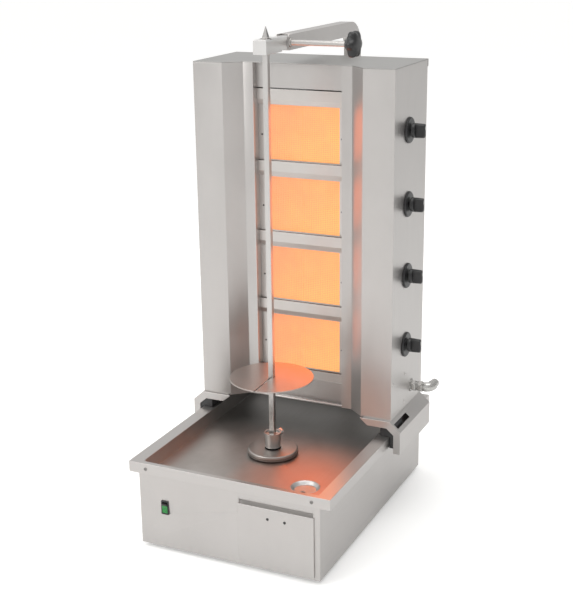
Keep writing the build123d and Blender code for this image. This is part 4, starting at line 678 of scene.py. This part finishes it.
# Dome of a button head: share of its height and share of its radius.
BUTTON = ((0.0, 1.0), (0.35, 0.99), (0.62, 0.90), (0.85, 0.72), (0.97, 0.50), (1.0, 0.42))
SOCKET_MOUTH = 0.36
SOCKET_FLOOR = 0.34
SOCKET_DEPTH = 0.35
SOCKET_LOBES = 0.05
HEX_BOLT_OVER = 0.003
HEX_TOP = 0.93
HEX_CHAMFER = 0.001
WASHER_REACH = 1.05
WASHER_FACE = 0.001


def screw_heads(node):
    """Domed button heads with a six-lobed socket; thick hex heads get a washer face and a chamfer."""
    forms = []
    for low, high in separate_solids(node):
        size = high - low
        thin = min(range(3), key=lambda index: size[index])
        axis = Vector([0, 0, 0])
        middle = (low + high) / 2
        axis[thin] = 1.0 if middle[thin] > 0 else -1.0
        origin = middle.copy()
        origin[thin] = low[thin] if axis[thin] > 0 else high[thin]
        radius = size[(thin + 1) % 3] / 2
        height = size[thin]
        if height > HEX_BOLT_OVER:
            washer = [(0, radius * WASHER_REACH, 0), (WASHER_FACE, radius * WASHER_REACH, 0)]
            forms.append(turned(washer, origin, axis))
            hexagon = [(WASHER_FACE, radius, 0), (height - HEX_CHAMFER, radius, 0)]
            hexagon.append((height, radius * HEX_TOP, 0))
            forms.append(turned(hexagon, origin, axis, segments=6))
            continue
        rows = [(height * rise, radius * share, 0) for rise, share in BUTTON]
        rows.append((height, radius * SOCKET_MOUTH, radius * SOCKET_LOBES))
        rows.append((height * SOCKET_DEPTH, radius * SOCKET_FLOOR, radius * SOCKET_LOBES))
        forms.append(turned(rows, origin, axis, segments=48, lobes=6))
    finish_piece(joined(f"{node}_heads", forms), f"{node}_heads", node, smooth_below=30.0)


for node_name in ("base_screws", "tower_screws", "drawer_screws"):
    screw_heads(node_name)

# Six-lobed clamp knob: a cone that swells into a domed star.
clamp_pivot = Vector(joint_of["clamp_turn"]["pos_m"])
STAR_ROWS = (
    (0.0000, 0.0095, 0.0),
    (0.0008, 0.0105, 0.0),
    (0.0050, 0.0145, 0.0002),
    (0.0085, 0.0200, 0.0008),
    (0.0105, 0.0245, 0.0018),
    (0.0125, 0.0262, 0.0026),
    (0.0160, 0.0270, 0.0029),
    (0.0210, 0.0268, 0.0029),
    (0.0245, 0.0255, 0.0026),
    (0.0272, 0.0225, 0.0018),
    (0.0290, 0.0170, 0.0008),
    (0.0298, 0.0100, 0.0002),
    (0.0300, 0.0040, 0.0),
)
star_origin = Vector((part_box("star_knob")[0].x, clamp_pivot.y, clamp_pivot.z))
star_form = turned(STAR_ROWS, star_origin, RIGHT, start=(0, 1, 0), segments=144, lobes=6)
finish_piece(joined("star_knob_moulded", [star_form]), "star_knob_moulded", "star_knob", smooth_below=50.0)

# Knurled thumb screw of the hub.
thumb_joint = joint_of["hub_screw_turn"]
THUMB_ROWS = (
    (0.0082, 0.0018, 0.0),
    (0.0090, 0.0025, 0.0),
    (0.0215, 0.0025, 0.0),
    (0.0225, 0.0045, 0.0),
    (0.0227, 0.0070, 0.0),
    (0.0234, 0.0077, 0.0002),
    (0.0298, 0.0077, 0.0002),
    (0.0303, 0.0070, 0.0),
    (0.0305, 0.0040, 0.0),
    (0.0300, 0.0030, 0.0),
)
thumb_origin = Vector(thumb_joint["pos_m"])
thumb_form = turned(THUMB_ROWS, thumb_origin, thumb_joint["axis"], segments=144, lobes=24)
finish_piece(joined("hub_thumb_screw_knurled", [thumb_form]), "hub_thumb_screw_knurled", "hub_thumb_screw")


SKIRT_DEPTH = 0.009
BAR_HALF_WIDTH = 0.0070
BAR_INSET = 0.0006
BAR_SPANS = 12
BAR_WAIST = 0.10
BAR_ROUND_FROM = 0.82
POINTER_HALF_WIDTH = 0.0011
POINTER_TOP_HALF_WIDTH = 0.0009
POINTER_RISE = 0.0003
POINTER_STRETCH = 5
POINTER_PLACE = 0.42


def knob_skirt(centre, radius):
    """Round skirt of a burner knob, with a rounded front edge."""
    rows = (
        (0.0000, radius - 0.0010, 0),
        (0.0010, radius, 0),
        (SKIRT_DEPTH - 0.0030, radius - 0.0004, 0),
        (SKIRT_DEPTH - 0.0008, radius - 0.0020, 0),
        (SKIRT_DEPTH, radius - 0.0045, 0),
    )
    return turned(rows, centre, RIGHT, segments=96)


def grip_bar(centre, reach, half_length):
    """Bar across a burner knob: waisted in the middle, rounded at its ends, narrower at the top."""
    layers = (
        (SKIRT_DEPTH - 0.0015, BAR_HALF_WIDTH),
        (reach - 0.0030, 0.0064),
        (reach - 0.0008, 0.0055),
        (reach, 0.0040),
    )
    round_span = 1 - BAR_ROUND_FROM
    verts = []
    for distance, half_width in layers:
        trim = BAR_HALF_WIDTH - half_width
        for side in (1, -1):
            for step in range(BAR_SPANS + 1):
                share = -1 + 2 * step / BAR_SPANS
                waist = 1 - BAR_WAIST * math.cos(share * math.pi / 2) ** 2
                past = max(0.0, abs(share) - BAR_ROUND_FROM) / round_span
                round_end = math.sqrt(max(0.0, 1 - past**2)) * 0.5 + 0.5
                y = side * half_width * waist * round_end
                z = side * share * (half_length - trim)
                verts.append(centre + Vector((distance, y, z)))
    return verts, tube_faces(len(layers), 2 * (BAR_SPANS + 1))


def pointer_line(centre, reach, half_length):
    """White line on the upper half of the grip bar: a small disc drawn out along the bar."""
    rows = (
        (reach - POINTER_RISE, POINTER_HALF_WIDTH, 0),
        (reach + POINTER_RISE, POINTER_TOP_HALF_WIDTH, 0),
    )
    middle = centre + Vector((0, 0, half_length * POINTER_PLACE))
    verts, faces = turned(rows, middle, RIGHT, segments=24)
    for vert in verts:
        vert.z = middle.z + (vert.z - middle.z) * POINTER_STRETCH
    return verts, faces


def burner_knob(number):
    """Round skirt with a waisted grip bar across it and a white pointer on the bar."""
    node = f"burner_knob_{number}"
    low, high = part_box(node)
    centre = Vector((low.x, (low.y + high.y) / 2, (low.z + high.z) / 2))
    radius = (high.z - low.z) / 2
    reach = high.x - low.x
    half_length = radius - BAR_INSET
    forms = [knob_skirt(centre, radius), grip_bar(centre, reach, half_length)]
    finish_piece(joined(f"{node}_moulded", forms), f"{node}_moulded", node, smooth_below=40.0)
    finish_piece(
        joined(f"{node}_pointer", [pointer_line(centre, reach, half_length)]),
        f"{node}_pointer",
        node,
        replace=False,
        material=materials["pointer_white"],
    )


for knob_number in range(1, BURNER_COUNT + 1):
    burner_knob(knob_number)

# ---------------------------------------------------------------- woven guards
WIRE_PITCH = 0.0044
WIRE_RADIUS = 0.00052
WIRE_SIDES = 5
GUARD_LIFT = 0.0001


def woven_wire(start, direction, crossings, phase):
    """One wire that weaves over and under its crossings; it waves in Y."""
    verts = []
    run = Vector(direction)
    across = run.cross(Vector((0, 1, 0)))
    for knot in range(crossings + 1):
        wave = WIRE_RADIUS * (1 if (knot + phase) % 2 else -1)
        middle = start + run * (WIRE_PITCH * knot) + Vector((0, wave, 0))
        for step in range(WIRE_SIDES):
            angle = 2 * math.pi * step / WIRE_SIDES
            spoke = across * math.cos(angle) + Vector((0, math.sin(angle), 0))
            verts.append(middle + spoke * WIRE_RADIUS)
    return verts, tube_faces(crossings + 1, WIRE_SIDES)


def woven_guards():
    """A plain-weave wire guard in front of every burner."""
    low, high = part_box("burner_meshes")
    columns = int((high.x - low.x) / WIRE_PITCH)
    rows = int(BURNER_HEIGHT / WIRE_PITCH)
    left = -columns * WIRE_PITCH / 2
    depth = high.y + GUARD_LIFT
    forms = []
    for middle in burner_middles:
        bottom = middle - rows * WIRE_PITCH / 2
        for column in range(columns + 1):
            start = Vector((left + column * WIRE_PITCH, depth, bottom))
            forms.append(woven_wire(start, UP, rows, column))
        for row in range(rows + 1):
            start = Vector((left, depth, bottom + row * WIRE_PITCH))
            forms.append(woven_wire(start, RIGHT, columns, row + 1))
    woven = joined("burner_meshes_woven", forms)
    finish_piece(woven, "burner_meshes_woven", "burner_meshes", smooth_below=80.0)


woven_guards()

# Dark pin heads beside the burners that hold the guards.
PIN_X = 0.0985
PIN_DROP = 0.007
PIN_HEIGHT = 0.0014
PIN_RADIUS = 0.0022
frame_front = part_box("burner_frames")[0].y
pins = []
for burner_middle in burner_middles:
    for pin_x in (PIN_X, -PIN_X):
        pin_rows = [(PIN_HEIGHT * rise, PIN_RADIUS * share, 0) for rise, share in BUTTON]
        pin_place = Vector((pin_x, frame_front, burner_middle - PIN_DROP))
        pins.append(turned(pin_rows, pin_place, (0, -1, 0), segments=24))
pin_mesh = joined("guard_pins", pins)
finish_piece(pin_mesh, "guard_pins", "burner_frames", replace=False, material=materials["dark_screw"])

# ---------------------------------------------------------------- gas elbow
inlet_low, inlet_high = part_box("gas_inlet")
outlet = next(mount for mount in record["mounts"] if mount["name"] == "gas_outlet")
outlet_x = outlet["pos_m"][0]
outlet_z = outlet["pos_m"][2]
OUTLET_RADIUS = outlet["dims"]["r_mm"] / 1000
OUTLET_REACH = 0.036
BEND_RADIUS = 0.014
BEND_STEPS = 16
BEND_SIDES = 48
ELBOW_RADIUS = 0.0112
inlet_y = inlet_high.y - OUTLET_REACH


def swept_elbow():
    """Quarter bend of the gas inlet, from the pipe's line to the outlet's."""
    verts = []
    for step in range(BEND_STEPS + 1):
        angle = math.pi / 2 * step / BEND_STEPS
        outward = Vector((math.sin(angle), -math.cos(angle), 0))
        centre = Vector((outlet_x - BEND_RADIUS, inlet_y + BEND_RADIUS, outlet_z)) + outward * BEND_RADIUS
        for corner in range(BEND_SIDES):
            swing = 2 * math.pi * corner / BEND_SIDES
            spoke = outward * math.cos(swing) + Vector((0, 0, math.sin(swing)))
            verts.append(centre + spoke * ELBOW_RADIUS)
    return verts, tube_faces(BEND_STEPS + 1, BEND_SIDES)


def gas_elbow():
    """Hex nuts on a nipple, then a swept elbow and a ribbed outlet with an open bore."""
    axis_point = Vector((0, inlet_y, outlet_z))
    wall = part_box("tower_wing_right")[1].x
    forms = []
    washer = [(wall, 0.0150, 0), (wall + 0.0024, 0.0150, 0), (wall + 0.0030, 0.0140, 0)]
    forms.append(turned(washer, axis_point, RIGHT))
    for start, length in ((wall + 0.0030, 0.0090), (wall + 0.0180, 0.0110)):
        nut = [
            (start, 0.0122, 0),
            (start + 0.0012, 0.0135, 0),
            (start + length - 0.0012, 0.0135, 0),
            (start + length, 0.0122, 0),
        ]
        forms.append(turned(nut, axis_point, RIGHT, segments=6))
    barrel = [
        (inlet_low.x, 0.0080, 0),
        (wall + 0.0110, 0.0080, 0),
        (wall + 0.0112, 0.0108, 0),
        (wall + 0.0185, 0.0108, 0),
        (wall + 0.0290, 0.0105, 0),
        (outlet_x - BEND_RADIUS, 0.0105, 0),
    ]
    forms.append(turned(barrel, axis_point, RIGHT))
    forms.append(swept_elbow())
    spout = Vector((outlet_x, inlet_y + BEND_RADIUS, outlet_z))
    length = inlet_high.y - spout.y
    outlet_rows = [
        (0.0, ELBOW_RADIUS, 0),
        (0.0030, 0.0120, 0),
        (0.0045, 0.0120, 0),
        (0.0055, OUTLET_RADIUS, 0),
        (length - 0.0008, OUTLET_RADIUS, 0),
        (length, OUTLET_RADIUS - 0.0008, 0),
        (length, 0.0072, 0),
        (length - 0.0130, 0.0070, 0),
    ]
    forms.append(turned(outlet_rows, spout, (0, 1, 0)))
    finish_piece(joined("gas_inlet_turned", forms), "gas_inlet_turned", "gas_inlet", smooth_below=32.0)


gas_elbow()

# ---------------------------------------------------------------- studio
FLOOR_RADIUS = 60.0
FLOOR_SIDES = 96
FLOOR_GLOW = 0.17
FLOOR_LIFT = 0.13


def seen_directly(tree):
    """1 for what the camera sees itself, 0 for what the steel reflects."""
    return add_node(tree, "ShaderNodeLightPath").outputs["Is Camera Ray"]


def floor_material():
    """Pale floor: it reads as white, and the steel sees it a little greyer."""
    material, tree, shader = new_material("studio_floor")
    mottle = noise(tree, object_coords(tree), scale=1.5, detail=3.0)
    direct = seen_directly(tree)
    pale = blend_colours(tree, mottle, (0.90, 0.90, 0.895), (0.92, 0.92, 0.915))
    tone = blend_colours(tree, direct, (0.84, 0.84, 0.835), pale)
    tree.links.new(tone, shader.inputs["Base Color"])
    tree.links.new(pale, shader.inputs["Emission Color"])
    lift = maths(tree, "ADD", FLOOR_GLOW, maths(tree, "MULTIPLY", direct, FLOOR_LIFT))
    tree.links.new(lift, shader.inputs["Emission Strength"])
    shader.inputs["Roughness"].default_value = 0.9
    shader.inputs["Specular IOR Level"].default_value = 0.2
    return material


floor_disc = bmesh.new()
bmesh.ops.create_circle(floor_disc, cap_ends=True, segments=FLOOR_SIDES, radius=FLOOR_RADIUS)
floor_mesh = bpy.data.meshes.new("studio_floor")
floor_disc.to_mesh(floor_mesh)
floor_disc.free()
floor_mesh.materials.append(floor_material())
floor = bpy.data.objects.new("studio_floor", floor_mesh)
floor.location.z = cad_low.z
bpy.context.scene.collection.objects.link(floor)

SKY_DIM_RIGHT = 0.6
SKY_DIM_BACK = 0.35
SKY_DIMMEST = 0.50
world = bpy.data.worlds.new("studio_world")
bpy.context.scene.world = world
world.use_nodes = True
sky = world.node_tree
sky.nodes.clear()
# The sky is bright at the front left and dims towards the back right; the backdrop itself stays white.
to_right = maths(sky, "MULTIPLY", coordinate(sky, "Generated", "X"), SKY_DIM_RIGHT)
to_back = maths(sky, "MULTIPLY", coordinate(sky, "Generated", "Y"), SKY_DIM_BACK)
brightness = remap(sky, maths(sky, "ADD", to_right, to_back), -0.5, 0.8, 1.0, SKY_DIMMEST)
brightness = maths(sky, "MAXIMUM", brightness, seen_directly(sky))
background = add_node(
    sky, "ShaderNodeBackground", inputs={"Color": (1.0, 0.995, 0.985, 1.0), "Strength": brightness}
)
add_node(sky, "ShaderNodeOutputWorld", inputs={"Surface": background.outputs["Background"]})


def area_light(name, place, target, size, power, colour, size_y=None):
    """A soft light at a place, turned to its target; size_y makes it a rectangle."""
    light = bpy.data.lights.new(name, "AREA")
    light.energy = power
    light.color = colour
    light.size = size
    if size_y:
        light.shape = "RECTANGLE"
        light.size_y = size_y
    lamp = bpy.data.objects.new(name, light)
    lamp.location = place
    lamp.rotation_euler = (Vector(target) - Vector(place)).to_track_quat("-Z", "Y").to_euler()
    bpy.context.scene.collection.objects.link(lamp)
    return lamp


area_light("key_softbox", (-2.2, -2.6, 3.2), (0, 0, 0.5), size=2.6, power=55.0, colour=(1.0, 0.985, 0.97))
area_light("top_softbox", (0.4, 0.2, 4.2), (0, 0, 0), size=3.0, power=60.0, colour=(1.0, 0.995, 0.99))

GLOW_COLOUR = (1.0, 0.17, 0.05)
GLOW_POWER = 0.12
GLOW_WIDTH = 0.180
GLOW_HEIGHT = 0.120
GLOW_GAP = 0.014
for number, height in enumerate(burner_middles, start=1):
    glow = area_light(
        f"burner_glow_{number}",
        (0, PLAQUE_LOW.y - GLOW_GAP, height),
        (0, -1.0, height),
        size=GLOW_WIDTH,
        power=GLOW_POWER,
        colour=GLOW_COLOUR,
        size_y=GLOW_HEIGHT,
    )
    glow.visible_camera = False

# ---------------------------------------------------------------- camera
AZIMUTH = math.radians(25.277)
PITCH = math.radians(17.512)
ROLL = math.radians(-0.78)
CAMERA_PLACE = (1.1250, -2.3823, 1.3407)
SENSOR_HEIGHT = 36.0
LENS = 72.04
forward = Vector(
    (-math.sin(AZIMUTH) * math.cos(PITCH), math.cos(AZIMUTH) * math.cos(PITCH), -math.sin(PITCH))
)
level_right = Vector((math.cos(AZIMUTH), math.sin(AZIMUTH), 0))
level_up = level_right.cross(forward)
cam_right = math.cos(ROLL) * level_right + math.sin(ROLL) * level_up
cam_up = -math.sin(ROLL) * level_right + math.cos(ROLL) * level_up
camera_data = bpy.data.cameras.new("studio_camera")
camera_data.sensor_fit = "VERTICAL"
camera_data.sensor_height = SENSOR_HEIGHT
camera_data.lens = LENS
camera = bpy.data.objects.new("studio_camera", camera_data)
turn = Matrix((cam_right, cam_up, -forward)).transposed().to_4x4()
camera.matrix_world = Matrix.Translation(CAMERA_PLACE) @ turn
bpy.context.scene.collection.objects.link(camera)
bpy.context.scene.camera = camera
bpy.context.scene.view_settings.view_transform = "Standard"
